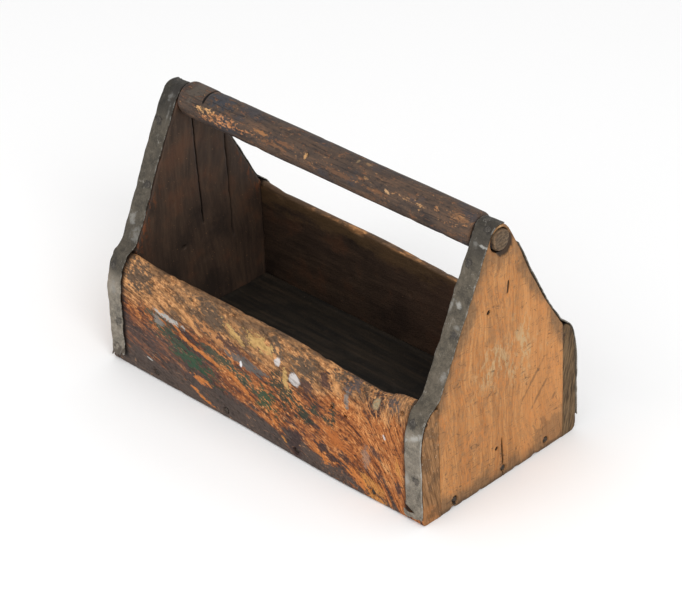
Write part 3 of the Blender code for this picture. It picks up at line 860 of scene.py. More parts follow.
def wornFace(bm, look, skins):  # notches along the foot, and the hollow beside the tenon
    deepest, highest = endLook["notched"]
    for y, reach, deep in look["notches"]:
        for vert in bm.verts:
            fromFace = abs(vert.co.x - skins[1])
            if fromFace < deepest and vert.co.z < highest:
                rise = deep * smoothStep(reach, 0, abs(vert.co.y - y))
                vert.co.z += rise * smoothStep(deepest, 0, fromFace)
    asideY, asideZ, radius, deep = endLook["wornHole"]
    soft = endLook["wornSoft"]
    middle = Vector((asideY, rodHeight + asideZ))
    for vert in bm.verts:
        if abs(vert.co.x - skins[1]) < endLook["onSkin"]:
            away = (vert.co.yz - middle).length
            vert.co.x -= look["end"] * deep * smoothStep(radius + soft, radius - soft, away)


def endBoard(look, material):
    low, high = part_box(look["node"])
    end, seed = look["end"], look["seed"]
    bm = gableSheet(look, low, high)
    cutTenonHole(bm)
    swept = bmesh.ops.extrude_face_region(bm, geom=bm.faces[:])
    moved = [part for part in swept["geom"] if isinstance(part, bmesh.types.BMVert)]
    bmesh.ops.translate(bm, vec=(-end * (high.x - low.x), 0, 0), verts=moved)
    for rim in edgeLook["rims"]:
        sliceAt(bm, 0, low.x + rim, high.x - rim)
    fineAlong(bm, 0, endLook["thickStep"])
    closeUp(bm)
    skins = {1: high.x if end > 0 else low.x, -1: low.x if end > 0 else high.x}
    for crack in look["cracks"]:
        openCrack(bm, look, crack, skins)
    for vert in bm.verts:
        vert.co += beaten(vert.co)
    for middle in bottomNails(look):
        middle.x = skins[1]
        nailHole(bm, middle, Vector((-end, 0, 0)))
    wornFace(bm, look, skins)
    for skin, y, z, radius in look["pits"]:
        smallPit(bm, Vector((skins[skin], y, z)), radius, Vector((-skin * end, 0, 0)))
    fixOrder(bm)
    ageWood(bm, endLook, (seed, seed, seed), lambda co: min(co.y - low.y, high.y - co.y) < endLook["spared"])
    markBends(bm)
    finishPiece(look["node"].split("_")[0] + "EndBoard", bm, material, look["node"])
    print(look["node"], "shaped")


def slopeDepth(f, facing):  # how far a point lies below a gable slope
    foot, angle, _ = slopeOf(facing)
    normal = polar(angle - math.pi / 2)
    return (foot.x - f.y * facing) * normal.x + (foot.y - f.z) * normal.y


def endFinish(look):
    f = Finish(look["node"].split("_")[0] + "EndPine")
    shift = (look["seed"] * 0.37, look["seed"] * 0.21, look["seed"] * 0.55)
    wave = (f.cloud(f.drawn(f.place, (1, 1, 0.6), shift=shift), 9, 2) - 0.5) * 0.05
    grainPlace = f.drawn(f.join(f.x, f.y + wave, f.z), (1, 1, 1), shift=shift)
    streak = f.cloud(f.drawn(grainPlace, (1, 1, 0.05)), 420, 5, 0.65)
    broad = f.cloud(f.drawn(grainPlace, (1, 1, 0.07)), 70, 3, 0.5)
    pore = f.cloud(f.drawn(grainPlace, (1, 1, 0.09)), 760, 2, 0.5)
    blotch = f.cloud(grainPlace, 26, 4)
    flake = f.cloud(f.drawn(grainPlace, (1, 1, 0.4)), 210, 6, 0.7)
    speck = f.cloud(grainPlace, 520, 3)

    # the bare pine and its mottle, lighter to the back
    grain = streak * 0.65 + broad * 0.35
    colour = f.ramp(grain, (0.36, tint(150, 98, 52)), (0.5, tint(176, 120, 68)), (0.66, tint(196, 142, 88)))
    colour = f.blend(colour, tint(186, 116, 58), blotch.step(0.50, 0.62) * 0.35)
    colour = f.blend(colour, tint(118, 78, 44), pore.step(0.40, 0.32) * 0.7)
    colour = f.blend(colour, tint(136, 102, 68), (flake * 0.6 + blotch * 0.4).step(0.51, 0.58) * 0.5)
    colour = f.blend(colour, tint(96, 74, 54), speck.step(0.62, 0.70) * flake.step(0.46, 0.56) * 0.6)
    colour = f.blend(colour, tint(152, 116, 82), speck.step(0.53, 0.60) * 0.4)
    colour = f.blend(colour, tint(198, 120, 54), (flake * 0.7 + speck * 0.3).step(0.46, 0.40) * 0.3)
    colour = f.blend(colour, tint(212, 146, 86), (f.y + (blotch - 0.5) * 0.04).step(0.015, 0.045) * 0.3)

    # grime from hands, the straps' edges and the ground
    edge = slopeDepth(f, -1).least(slopeDepth(f, 1))
    dirty = (edge + (blotch - 0.5) * 0.05 + (flake - 0.5) * 0.03).step(0.014, 0.0)
    dirty = dirty.most((f.z + (blotch - 0.5) * 0.06 + (flake - 0.5) * 0.03).step(0.022, 0.004))
    corner = f.oval((0, 0.076, 0.006), (1, 0.036, 0.034), (0, 0, 0), (flake - 0.5) * 3.4 + (blotch - 0.5) * 2)
    dirty = dirty.most(corner * 0.7)
    around = f.oval((0, 0.002, rodHeight - 0.004), (1, 0.021, 0.026), (0, 0, 0), (flake - 0.5) * 3)
    dirty = dirty.most(around * 0.7)
    grime = f.ramp(speck * 0.5 + streak * 0.5, (0.38, tint(76, 60, 44)), (0.62, tint(126, 98, 68)))
    colour = f.blend(colour, grime, dirty * 0.75)
    colour = f.blend(colour, tint(58, 46, 34), (f.z + (flake - 0.5) * 0.016).step(0.006, 0.001) * 0.6)

    # a faint pale smear on the right end, scratches and gouges
    brushed = f.cloud(f.drawn(f.place, (1, 1, 0.35), (0.5, 0, 0), shift), 130, 5, 0.7)
    ragged = (blotch - 0.5) * 4 + (brushed - 0.5) * 5
    smear = f.oval((0.215, 0.004, 0.130), (0.1, 0.046, 0.034), (0.35, 0, 0), ragged)
    colour = f.blend(colour, tint(186, 164, 124), smear * brushed.step(0.44, 0.58) * 0.6)
    for turn, lines in ((0.75, (1, 11, 70)), (-0.5, (1, 9, 80)), (1.1, (1, 14, 60))):
        scratch = f.line(f.cloud(f.drawn(f.place, lines, (turn, 0, 0), shift), 1.0, 2), 0.008)
        colour = f.blend(colour, tint(84, 62, 44), scratch * flake.step(0.46, 0.56) * 0.7)
    for y, z, long in ((0.0455, 0.0885, 0.021), (0.056, 0.070, 0.014), (0.0755, 0.056, 0.005)):
        gouge = f.oval((0, y, z), (1, 0.0015, long), (-0.75, 0, 0), (flake - 0.5) * 5, 0.5)
        colour = f.blend(colour, tint(98, 74, 50), gouge * 0.6)

    # the dark inside, painted shade in the cracks and the tenon hole, the tenon's painted shadow, worn edges
    # and a painted highlight on the crown
    inside = (f.x * look["end"]).step(0.2085, 0.2050)
    dark = darkInside(f, f.drawn(grainPlace, (1, 1, 0.1)), look["seed"] * 0.3, 0.92)
    colour = f.blend(colour, dark, inside)
    rubbed = edge.step(0.016, 0.002) * flake.step(0.52, 0.60) * f.z.step(0.200, 0.150)
    colour = f.blend(colour, tint(118, 66, 36), rubbed * inside * 0.6)
    # painted shade in the cracks and other hollows
    colour = f.blend(colour, tint(24, 18, 14), f.bend.step(-0.08, -0.26) * 0.9)
    # painted shade deep in the cracks and the tenon hole, less on the inner face
    sunk = abs(abs(f.x) - endLook["middle"]).step(0.0102, 0.0094)
    sunk = sunk * edge.step(0.0035, 0.0055) * f.z.step(0.004, 0.007) * (1 - abs(f.y).step(0.080, 0.082))
    colour = f.blend(colour, tint(30, 22, 16), sunk * (0.9 - inside * 0.5))
    # painted shadow of the tenon, cast down and behind it over the worn hollow
    asideY, asideZ, hollow, _ = endLook["wornHole"]
    half = (1, hollow, hollow)
    shade = f.oval((0, asideY, rodHeight + asideZ), half, (0, 0, 0), (flake - 0.5) * 0.8, 0.1)
    colour = f.blend(colour, tint(46, 34, 24), shade * (1 - inside) * 0.9)
    worn = f.bend.step(0.12, 0.34) * (1 - inside)
    slopes = worn * edge.step(0.012, 0.003) * f.z.step(0.215, 0.190)
    colour = f.blend(colour, tint(120, 92, 64), slopes * 0.5)
    # worn pale wood along the crown's edges, with a painted highlight on them
    crown = worn * f.z.step(0.200, 0.220) * flake.step(0.42, 0.54)
    colour = f.blend(colour, tint(204, 168, 122), crown * 0.8)
    height = streak * 0.5 + pore * 0.3 + flake * 0.3
    return f.finish(colour, 0.56 + flake * 0.22, height, 0.0008)


# The bottom

bottomLook = {
    "node": "bottom_board",
    "seed": 21,
    "step": 0.0026,
    "waves": [(0.0005, 0.012, (8, 1, 1), 0), (0.0008, 0.060, (2, 1, 1), 1)],
    "edge": 0.0006,
    "chip": 0.0008,
    "dents": (90, (0.003, 0.010), (0.0003, 0.0012)),
    "topDepth": 0.003,  # points this near the top are lifted by the dirt
    "dirtReach": 0.007,
    "dirtRise": 0.0016,
}


def bottomBoard(material):
    look = bottomLook
    seed = look["seed"]
    low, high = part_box(look["node"])
    bm = blockGrid(low, high, look["step"])
    ageWood(bm, look, (seed, seed + 2, seed + 3))
    for vert in bm.verts:  # packed dirt along the walls
        if vert.co.z > high.z - look["topDepth"]:
            rim = min(vert.co.x - low.x, high.x - vert.co.x, vert.co.y - low.y, high.y - vert.co.y)
            reach = look["dirtReach"] * (1 + 0.5 * wobble(vert.co, 0.02, seed + 4))
            vert.co.z += look["dirtRise"] * smoothStep(reach, 0, rim)
    markBends(bm)
    finishPiece("bottomBoard", bm, material, look["node"])
    print("bottom board shaped")


def bottomFinish():
    f = Finish("grimyFloor")
    streak = f.cloud(f.drawn(f.place, (0.08, 1, 1)), 160, 5, 0.6)
    blotch = f.cloud(f.place, 20, 4)
    flake = f.cloud(f.drawn(f.place, (0.4, 1, 1)), 200, 6, 0.7)
    speck = f.cloud(f.place, 800, 3)
    colour = f.ramp(streak, (0.34, tint(22, 18, 14)), (0.5, tint(34, 28, 21)), (0.68, tint(50, 40, 30)))
    colour = f.blend(colour, tint(62, 48, 34), flake.step(0.60, 0.70) * 0.7)
    colour = f.blend(colour, tint(22, 19, 15), blotch.step(0.5, 0.36) * 0.7)
    colour = f.blend(colour, tint(110, 96, 76), speck.step(0.72, 0.78) * 0.7)
    under = f.z.step(0.004, 0.001)
    bare = f.ramp(streak, (0.34, tint(96, 72, 52)), (0.5, tint(132, 100, 72)), (0.68, tint(160, 126, 92)))
    bare = f.blend(bare, tint(72, 56, 44), (blotch * 0.6 + flake * 0.4).step(0.52, 0.44) * 0.8)
    colour = f.blend(colour, bare, under)
    height = streak * 0.5 + flake * 0.5 + speck * 0.2
    return f.finish(colour, 0.62 + flake * 0.2, height, 0.0010)


# The handle

handleLook = {
    "node": "handle",
    "seed": 31,
    "step": 0.0016,
    "sides": 80,
    "tipCuts": 6,
    "proud": 0.0006,  # how far past the solid its worn ends reach
    "tenonRound": 0.0008,
    "tenonRadius": 0.01075,
    "gripRound": 0.0046,
    "gripTurns": (0, 22, 45, 68, 90),
    "kerf": (-0.1580, 0.0013, 0.0050),  # the saw cut's x, half width and depth
    "kerfTurns": (-62, 50, 14),  # its first and last degrees, and over how many it runs out
    "nicks": [  # x, degrees, radius, depth
        (-0.0130, 60, 0.0032, 0.0024), (0.060, 60, 0.0035, 0.0012), (-0.085, 20, 0.004, 0.0013),
        (0.125, 42, 0.003, 0.0012), (0.02, 100, 0.004, 0.0014), (-0.12, 150, 0.004, 0.0013),
    ],
    "nickFine": 1.6,
    "nickWall": 0.9,
    "waves": [(0.0008, 0.050, (1.5, 1, 1), 0), (0.0005, 0.012, (4, 1, 1), 1), (0.0002, 0.004, (5, 1, 1), 2)],
    "edge": 0.0004,
    "chip": 0.0010,
    "dents": (110, (0.003, 0.011), (0.0003, 0.0012)),
    "wearRadius": 0.017,  # where the middles of worn places lie, and how deep they go
    "wearDepth": 0.010,
}


def rodLine(look, grip):  # half a cut through the rod, from its left tip to its right one
    tip, tenon = rodHigh.x + look["proud"], look["tenonRadius"]
    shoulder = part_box("bottom_board")[1].x
    worn, bend = look["tenonRound"], look["gripRound"]
    half = [(tip, 0.0), (tip, tenon - worn), (tip - worn, tenon), (shoulder, tenon)]
    for turn in look["gripTurns"]:
        out = polar(math.radians(turn)) * bend
        half.append((shoulder - bend + out.x, grip - bend + out.y))
    kerf, halfKerf, _ = look["kerf"]
    sawn = [(kerf + aside * halfKerf, grip) for aside in (-1.8, -1, -0.6, 0.6, 1, 1.8)]
    return [(-x, radius) for x, radius in half] + sawn + half[::-1]


def handleRod(material):
    look = handleLook
    seed = look["seed"]
    grip = (rodHigh.z - rodLow.z) / 2
    bm = bmesh.new()
    edges = drawLine(bm, [(x, 0, radius) for x, radius in rodLine(look, grip)])
    bmesh.ops.subdivide_edges(bm, edges=[edges[0], edges[-1]], cuts=look["tipCuts"])
    fineAlong(bm, 0, look["step"])
    spinRound(bm, (1, 0, 0), look["sides"])
    kerf, halfKerf, kerfDepth = look["kerf"]
    start, stop, ease = look["kerfTurns"]
    for vert in bm.verts:
        if abs(vert.co.x - kerf) < halfKerf * 0.8:
            turn = math.degrees(math.atan2(-vert.co.y, vert.co.z))
            cutIn = kerfDepth * smoothStep(start, start + ease, turn) * smoothStep(stop, stop - ease, turn)
            vert.co.yz *= 1 - cutIn / grip
    bmesh.ops.translate(bm, vec=(0, 0, rodHeight), verts=bm.verts)
    for x, degrees, radius, depth in look["nicks"]:
        out = Vector((0, -math.sin(math.radians(degrees)), math.cos(math.radians(degrees))))
        middle = Vector((x, 0, rodHeight)) + out * grip
        refineAround(bm, middle, radius * look["nickFine"])
        pressIn(bm, middle, radius, depth, -out, look["nickWall"])
    fixOrder(bm)
    ageWood(bm, look, (seed, seed + 3, seed + 4))
    markBends(bm)
    finishPiece("handle_rod", bm, material, look["node"])
    print("handle shaped")


# worn places on the handle: x, degrees from the top to the front, half length and half width in mm, colour
handleWear = [
    (-75, 58, 9, 1.6, tint(172, 118, 72)), (-60, 80, 14, 2.0, tint(132, 92, 62)),
    (-45, 62, 12, 1.6, tint(128, 88, 60)), (-15, 66, 1.3, 3.6, tint(214, 164, 108)),
    (43, 8, 1.6, 3.4, tint(150, 124, 92)), (56, 2, 4, 1.2, tint(150, 116, 82)),
    (62, 51, 3, 1.2, tint(170, 128, 86)), (91, 62, 2.6, 1.8, tint(212, 168, 122)),
    (78, 76, 12, 2.0, tint(124, 86, 58)), (30, 74, 18, 2.0, tint(116, 82, 58)),
    (180, 40, 9, 4, tint(142, 102, 70)), (60, 172, 40, 5, tint(136, 98, 70)),
    (-90, 205, 46, 6, tint(140, 102, 70)), (140, 240, 30, 5, tint(138, 98, 68)),
    (-150, 280, 22, 5, tint(144, 102, 68)), (10, 290, 36, 5, tint(130, 96, 68)),
    (-140, 12, 13, 9, tint(62, 64, 70)), (-172, 20, 9, 10, tint(92, 82, 72)),
]
# where the dark skin is rubbed through in flecks: the same, with how dense the flecks are before the colour
handleRubs = [
    (-150, 70, 14, 4.0, 0.11, tint(232, 178, 118)), (-128, 82, 26, 6.0, 0.11, tint(222, 152, 98)),
    (-96, 76, 20, 5.0, 0.06, tint(190, 128, 82)), (124, 60, 22, 4.0, 0.05, tint(206, 158, 108)),
    (20, 74, 60, 4.0, 0.02, tint(150, 104, 68)), (168, 52, 22, 6.0, 0.04, tint(170, 122, 82)),
]


def onGrip(f, x, degrees, halfLong, halfWide, ragged, soft):  # an oval laid on the grip
    turn, radius = math.radians(degrees), handleLook["wearRadius"]
    middle = (x / 1000, -radius * math.sin(turn), rodHeight + radius * math.cos(turn))
    half = (halfLong / 1000, handleLook["wearDepth"], halfWide / 1000)
    return f.oval(middle, half, (turn + math.pi / 2, 0, 0), ragged, soft)


def handleFinish():
    f = Finish("grippedHandle")
    streak = f.cloud(f.drawn(f.place, (0.09, 1, 1)), 300, 5, 0.65)
    broad = f.cloud(f.drawn(f.place, (0.35, 1, 1)), 85, 5, 0.65)
    flake = f.cloud(f.drawn(f.place, (0.45, 1, 1)), 260, 6, 0.72)
    speck = f.cloud(f.drawn(f.place, (0.6, 1, 1), shift=(2, 3, 1)), 460, 3)
    fibre = f.cloud(f.drawn(f.place, (0.05, 1, 1)), 620, 3)
    colour = f.ramp(
        broad * 0.6 + streak * 0.4,
        (0.38, tint(50, 42, 39)), (0.47, tint(70, 57, 49)),
        (0.54, tint(82, 65, 53)), (0.64, tint(104, 78, 60)),
    )
    stain = f.cloud(f.drawn(f.place, (0.5, 1, 1)), 48, 4)
    colour = f.blend(colour, tint(58, 58, 63), stain.step(0.52, 0.64) * 0.6)
    colour = f.blend(colour, tint(122, 82, 56), flake.step(0.57, 0.63) * 0.75)
    ragged = (flake - 0.5) * 6 + (speck - 0.5) * 2.4
    for *spot, shade in handleWear:
        colour = f.blend(colour, dim(shade, 0.82), onGrip(f, *spot, ragged, 0.25) * 0.85)
    for *spot, dense, shade in handleRubs:
        zone = onGrip(f, *spot, 0.0, 0.6)
        torn = (flake * 0.8 + speck * 0.2 + zone * dense).step(0.575, 0.625) * zone.step(0.05, 0.3)
        colour = f.blend(colour, f.ramp(speck, (0.42, dim(shade, 0.4)), (0.58, dim(shade, 0.9))), torn * 0.9)
    colour = f.blend(colour, tint(150, 116, 82), speck.step(0.62, 0.70) * flake.step(0.46, 0.56) * 0.7)
    colour = f.blend(colour, tint(40, 34, 33), speck.step(0.42, 0.34) * 0.6)
    colour = f.blend(colour, tint(34, 28, 26), fibre.step(0.42, 0.34) * 0.6)
    lower = f.z.step(rodHeight - 0.007, rodHeight - 0.015)
    colour = f.blend(colour, tint(50, 44, 48), lower * 0.55)
    tenon = abs(f.x).step(0.2135, 0.2150)
    ring = f.cloud(f.drawn(f.place, (1, 0.8, 1.4)), 330, 5, 0.65)
    endGrain = f.ramp(ring, (0.36, tint(64, 50, 36)), (0.5, tint(90, 73, 55)), (0.66, tint(120, 99, 76)))
    colour = f.blend(colour, endGrain, tenon)
    # grime and painted shade in the saw cut, nicks and dents
    colour = f.blend(colour, tint(22, 18, 16), f.bend.step(-0.06, -0.24) * 0.9)
    colour = f.blend(colour, tint(140, 100, 68), f.bend.step(0.10, 0.30) * 0.4)
    # painted shade: the saw cut near black along the top of the grip
    sawn = abs(f.x - handleLook["kerf"][0]).step(0.0016, 0.0012)
    colour = f.blend(colour, tint(16, 13, 12), sawn * f.z.step(rodHeight + 0.0092, rodHeight + 0.0112))
    height = streak * 0.4 + flake * 0.5 + fibre * 0.2
    return f.finish(colour, 0.5 + flake * 0.3, height, 0.0011)


# The straps

strapLook = {
    "thick": 0.0012,
    "width": 0.0205,
    "gap": 0.0003,
    "step": 0.0013,
    "across": 16,
    "pastCrown": math.radians(22),
    "landing": math.radians(15),
    "kink": 0.003,
    "backStart": 0.0245,
    "foot": {-1: 0.006, 1: 0.015},
    "seed": 40,
    "wander": 0.0012,
    "hammered": 0.00050,
    "curl": 0.0007,  # how far the long edges and the foot turn up
    "curlFoot": 0.010,
    "deepest": 0.0001,  # how far dents may go into the gap
    "ragged": 0.0016,
    "raggedFoot": 0.014,
    "raggedTop": (0.006, 0.6),  # how far down the top is ragged, and its share
    "footCut": 0.024,  # how far up the slanting feet of the front straps are drawn
    "footSlant": (0.0045, 0.0020),  # down to the outside, less a little
    "edge": 0.00022,
    "chip": 0.0003,
}
tornLook = {  # the front left strap
    "ragged": 0.0060,
    "footSlant": 0.0080,  # down to the inside
    "taper": (0.0035, 0.020),  # its top end is cut to a taper on the inner side: how far in, over what length
    "outerEdge": (0.0008, 0.0022, -0.02, 0.01),  # out above the round, in below it, between these places
    "fold": (0.0016, 0.0035),  # where it meets the round: height, half length
    "loose": (0.0018, 0.006, 0.0145),  # over the gable's front shoulder: height, half length, place
    "footLift": (0.0016, 0.007),
}
slitLook = {  # in the front right strap
    "start": 0.0200,  # its height
    "reach": 0.0124,
    "fall": 0.0086,
    "rows": 12,  # how many rows above it bend with it
    "lipOut": 0.0026,
    "lipDown": 0.0030,
    "lipReach": (0.011, 0.004),  # how far down the lip is bent, and from where
}


def strapLine(facing):  # (outward, up) points from a strap's top end to its foot
    look, board = strapLook, frontLook if facing < 0 else backLook
    low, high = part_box(board["node"])
    thick, height = high.y - low.y, high.z
    foot, slope, run = slopeOf(facing)
    upSlope = polar(slope)
    if facing < 0:
        first, last = math.pi / 2 + look["pastCrown"], slope - math.pi / 2
        middle = Vector((facing * crownAside, rodHeight))
        points = [middle + crownRadius * polar(first + (last - first) * n / 16) for n in range(17)]
    else:
        points = [foot + (run - look["backStart"]) * upSlope]

    def onRound(angle):
        return roundPoint(board, thick, height, angle) + Vector((foot.x, 0))

    lands = onRound(look["landing"])
    ahead = onRound(look["landing"] + 0.01) - lands
    normal = Vector((-ahead.y, ahead.x)).normalized()
    cornerUp = (lands - foot).dot(normal) / upSlope.dot(normal)
    corner = foot + cornerUp * upSlope
    leaves = foot + (cornerUp + look["kink"]) * upSlope
    for n in range(6):
        share = n / 6
        points.append((1 - share) ** 2 * leaves + 2 * share * (1 - share) * corner + share**2 * lands)
    for n in range(25):
        points.append(onRound(look["landing"] + (math.pi / 2 - look["landing"]) * n / 24))
    points.append(Vector((foot.x + thick, look["foot"][facing])))
    return points


def evenPoints(points, step):
    lengths = [(after - before).length for before, after in zip(points, points[1:])]
    total = sum(lengths)
    count = round(total / step)
    even, part, passed = [], 0, 0.0
    for n in range(count + 1):
        want = total * n / count
        while part < len(lengths) - 1 and passed + lengths[part] < want:
            passed += lengths[part]
            part += 1
        even.append(points[part].lerp(points[part + 1], (want - passed) / lengths[part]))
    return even


# a strip of steel, one row of points for each step of its line
def strapRows(bm, node, facing, end, points, normals):
    look = strapLook
    low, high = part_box(node)
    first = points[0] + normals[0] * look["gap"]
    drawn = drawLine(bm, [(x, facing * first.x, first.y) for x in (low.x, high.x)[::end]])
    bmesh.ops.subdivide_edges(bm, edges=drawn, cuts=look["across"] - 1)
    edges = bm.edges[:]
    rows = [sorted(bm.verts, key=lambda vert: vert.co.x * end)]
    place = first
    for point, normal in zip(points[1:], normals[1:]):
        after = point + normal * look["gap"]
        swept = bmesh.ops.extrude_edge_only(bm, edges=edges)["geom"]
        verts = [part for part in swept if isinstance(part, bmesh.types.BMVert)]
        edges = [part for part in swept if isinstance(part, bmesh.types.BMEdge)]
        edges = [edge for edge in edges if all(vert in verts for vert in edge.verts)]
        bmesh.ops.translate(bm, vec=(0, facing * (after.x - place.x), after.y - place.y), verts=verts)
        rows.append(sorted(verts, key=lambda vert: vert.co.x * end))
        place = after
    return rows


def tearSlit(bm, rows, facing, points):  # a torn slit near the foot, with its lower lip bent out
    look = slitLook
    reach, bent = look["reach"], look["rows"]
    row = next(n for n, point in enumerate(points) if point.y < look["start"])
    half = round(strapLook["across"] * reach / abs(rows[0][-1].co.x - rows[0][0].co.x))
    for n in range(row - bent + 1, len(rows)):
        fade = (len(rows) - 1 - n) / (len(rows) - 1 - row) if n > row else smoothStep(bent, 0, row - n)
        for m, vert in enumerate(rows[n]):
            vert.co.z -= look["fall"] * min(m / half, 1.0) * fade
    lower = {face for vert in rows[row + 1][: half + 1] for face in vert.link_faces}
    lower = {face for face in lower if any(vert in rows[row] for vert in face.verts)}
    cut = [edge for m in range(half) for edge in rows[row][m].link_edges if rows[row][m + 1] in edge.verts]
    bmesh.ops.split_edges(bm, edges=cut)
    below = {vert for n in range(row + 1, len(rows)) for vert in rows[n]}
    lip = {vert for face in lower for vert in face.verts if vert not in below}
    inner = rows[row + 1][0].co.x
    lipReach, lipStart = look["lipReach"]
    for vert in lip | below:
        side = smoothStep(reach, reach * 0.3, abs(vert.co.x - inner))
        near = 1.0 if vert in lip else smoothStep(lipReach, 0.0, points[row].y - lipStart - vert.co.z)
        vert.co.y += facing * look["lipOut"] * side * near
        vert.co.z -= look["lipDown"] * side * near


def hump(height, half, away):
    return height * math.exp(-((away / half) ** 2))


# how a strap's point moves aside, off the wood and along the strap: along and toFoot are its places
# from the top and from the foot, share from the inner edge to the outer one
def strapMove(along, toFoot, share, seed):
    look = strapLook
    spot = Vector((along, share * look["width"], seed))
    aside = look["wander"] * wobble(Vector((along, 0, seed)), 0.014, seed) * (1 - share)
    aside += 0.7 * look["wander"] * wobble(Vector((along, 5, seed)), 0.013, seed + 1) * share
    lift = look["hammered"] * (0.6 + wobble(spot, 0.012, seed) + 0.5 * wobble(spot, 0.005, seed + 2))
    turned = max(0.0, 0.3 + wobble(Vector((along, share > 0.5, seed)), 0.03, seed + 3))
    lift += look["curl"] * abs(2 * share - 1) ** 6 * turned
    slide = 0.0
    if toFoot < look["raggedFoot"]:
        jag = wobble(Vector((share * 0.02, 0, seed)), 0.0035, seed + 5)
        slide = smoothStep(look["raggedFoot"], 0.0, toFoot) * jag
        uneven = 0.5 + wobble(spot, 0.004, seed + 6)
        lift += look["curl"] * smoothStep(look["curlFoot"], 0.0, toFoot) * uneven
    topReach, topShare = look["raggedTop"]
    if along < topReach:
        jag = wobble(Vector((share * 0.02, 1, seed)), 0.005, seed + 7)
        slide -= topShare * smoothStep(topReach, 0.0, along) * jag
    return aside, lift, slide


def tornMove(along, toFoot, share, landing, seed):  # what the front left strap does besides
    look = tornLook
    taper, taperLength = look["taper"]
    out, back, before, after = look["outerEdge"]
    height, half, place = look["loose"]
    footLift, footReach = look["footLift"]
    aside = taper * smoothStep(taperLength, 0.0, along) * (1 - share)
    aside += share * (out - back * smoothStep(before, after, along - landing))
    spot = Vector((along, share * strapLook["width"], seed))
    lift = hump(*look["fold"], along - landing) + hump(height, half, along - place)
    lift += footLift * smoothStep(footReach, 0.0, toFoot) * (0.6 + wobble(spot, 0.006, seed + 8))
    return aside, lift


def strap(facing, end, material):
    look = strapLook
    side, hand = "front" if facing < 0 else "back", "left" if end < 0 else "right"
    node = f"{side}_{hand}_strap"
    seed = look["seed"] + facing + 3 * end
    points = evenPoints(strapLine(facing), look["step"])
    neighbours = zip(points[:1] + points, points[1:] + points[-1:])
    ways = [(after - before).normalized() for before, after in neighbours]
    normals = [Vector((-way.y, way.x)) for way in ways]
    bm = bmesh.new()
    rows = strapRows(bm, node, facing, end, points, normals)
    torn = (facing, end) == (-1, -1)
    landing = max((n for n, normal in enumerate(normals) if normal.y > 0.8), default=0) * look["step"]
    for n, (row, way, normal) in enumerate(zip(rows, ways, normals)):
        along, toFoot = n * look["step"], (len(rows) - 1 - n) * look["step"]
        footCut = smoothStep(look["footCut"], 0.0, toFoot)
        for m, vert in enumerate(row):
            share = m / look["across"]
            aside, lift, slide = strapMove(along, toFoot, share, seed)
            slide *= tornLook["ragged"] if torn else look["ragged"]
            if torn:
                tornAside, tornLift = tornMove(along, toFoot, share, landing, seed)
                aside += tornAside
                lift += tornLift
                slide -= footCut * tornLook["footSlant"] * (1 - share)
            elif facing < 0:
                slide -= footCut * (look["footSlant"][0] * share - look["footSlant"][1])
            vert.co.x += aside * end
            move = normal * max(lift, -look["deepest"]) + way * slide
            vert.co.y += facing * move.x
            vert.co.z += move.y
            vert.co += beaten(vert.co)
    if (facing, end) == (-1, 1):
        tearSlit(bm, rows, facing, points)
    bmesh.ops.recalc_face_normals(bm, faces=bm.faces)
    outward = sum(face.normal.y * facing for face in bm.faces)
    if outward < 0:
        bmesh.ops.reverse_faces(bm, faces=bm.faces)
    bmesh.ops.solidify(bm, geom=bm.faces[:], thickness=-look["thick"])
    closeUp(bm)
    wearEdges(bm, look["edge"], look["chip"], seed)
    markBends(bm)
    finishPiece(f"{side}{hand.title()}Strap", bm, material, node)


# bright zinc left on the straps, and painted glints along their edges: middle and half size in mm, degrees
# down to the right, share
zincAndGlintMarks = [
    ((207, -107, 96), (12, 6, 2.4), -30, 0.8), ((215.4, -105, 58), (1.3, 5, 42), 0, 1.0),
    ((197, -108, 45), (2.4, 4, 6), 0, 0.5), ((203.7, -40, 207), (3, 5, 2.4), 0, 0.7),
    ((211, -15, 258.5), (4.5, 4, 0.9), 0, 0.9), ((201.5, -15, 257), (2.4, 5, 3), 0, 0.3),
    ((209, -49, 189), (3, 5, 2), 0, 0.35), ((211, -71, 146), (2.4, 5, 4), 0, 0.4),
    ((196, -42, 203), (1.6, 5, 4), 0, 0.4), ((-203, -11, 264), (3, 6, 3), 0, 0.3),
    ((-199.5, -21, 245), (1.2, 6, 8), 0, 0.3), ((-210, -69, 149), (4, 6, 5), 0, 0.45),
    ((-199, -85, 137), (5, 14, 5), 0, 0.35), ((-205, -108, 86), (5, 4, 6), 0, 0.3),
    ((-191, 94, 129), (6, 9, 4), 0, 0.9),
]


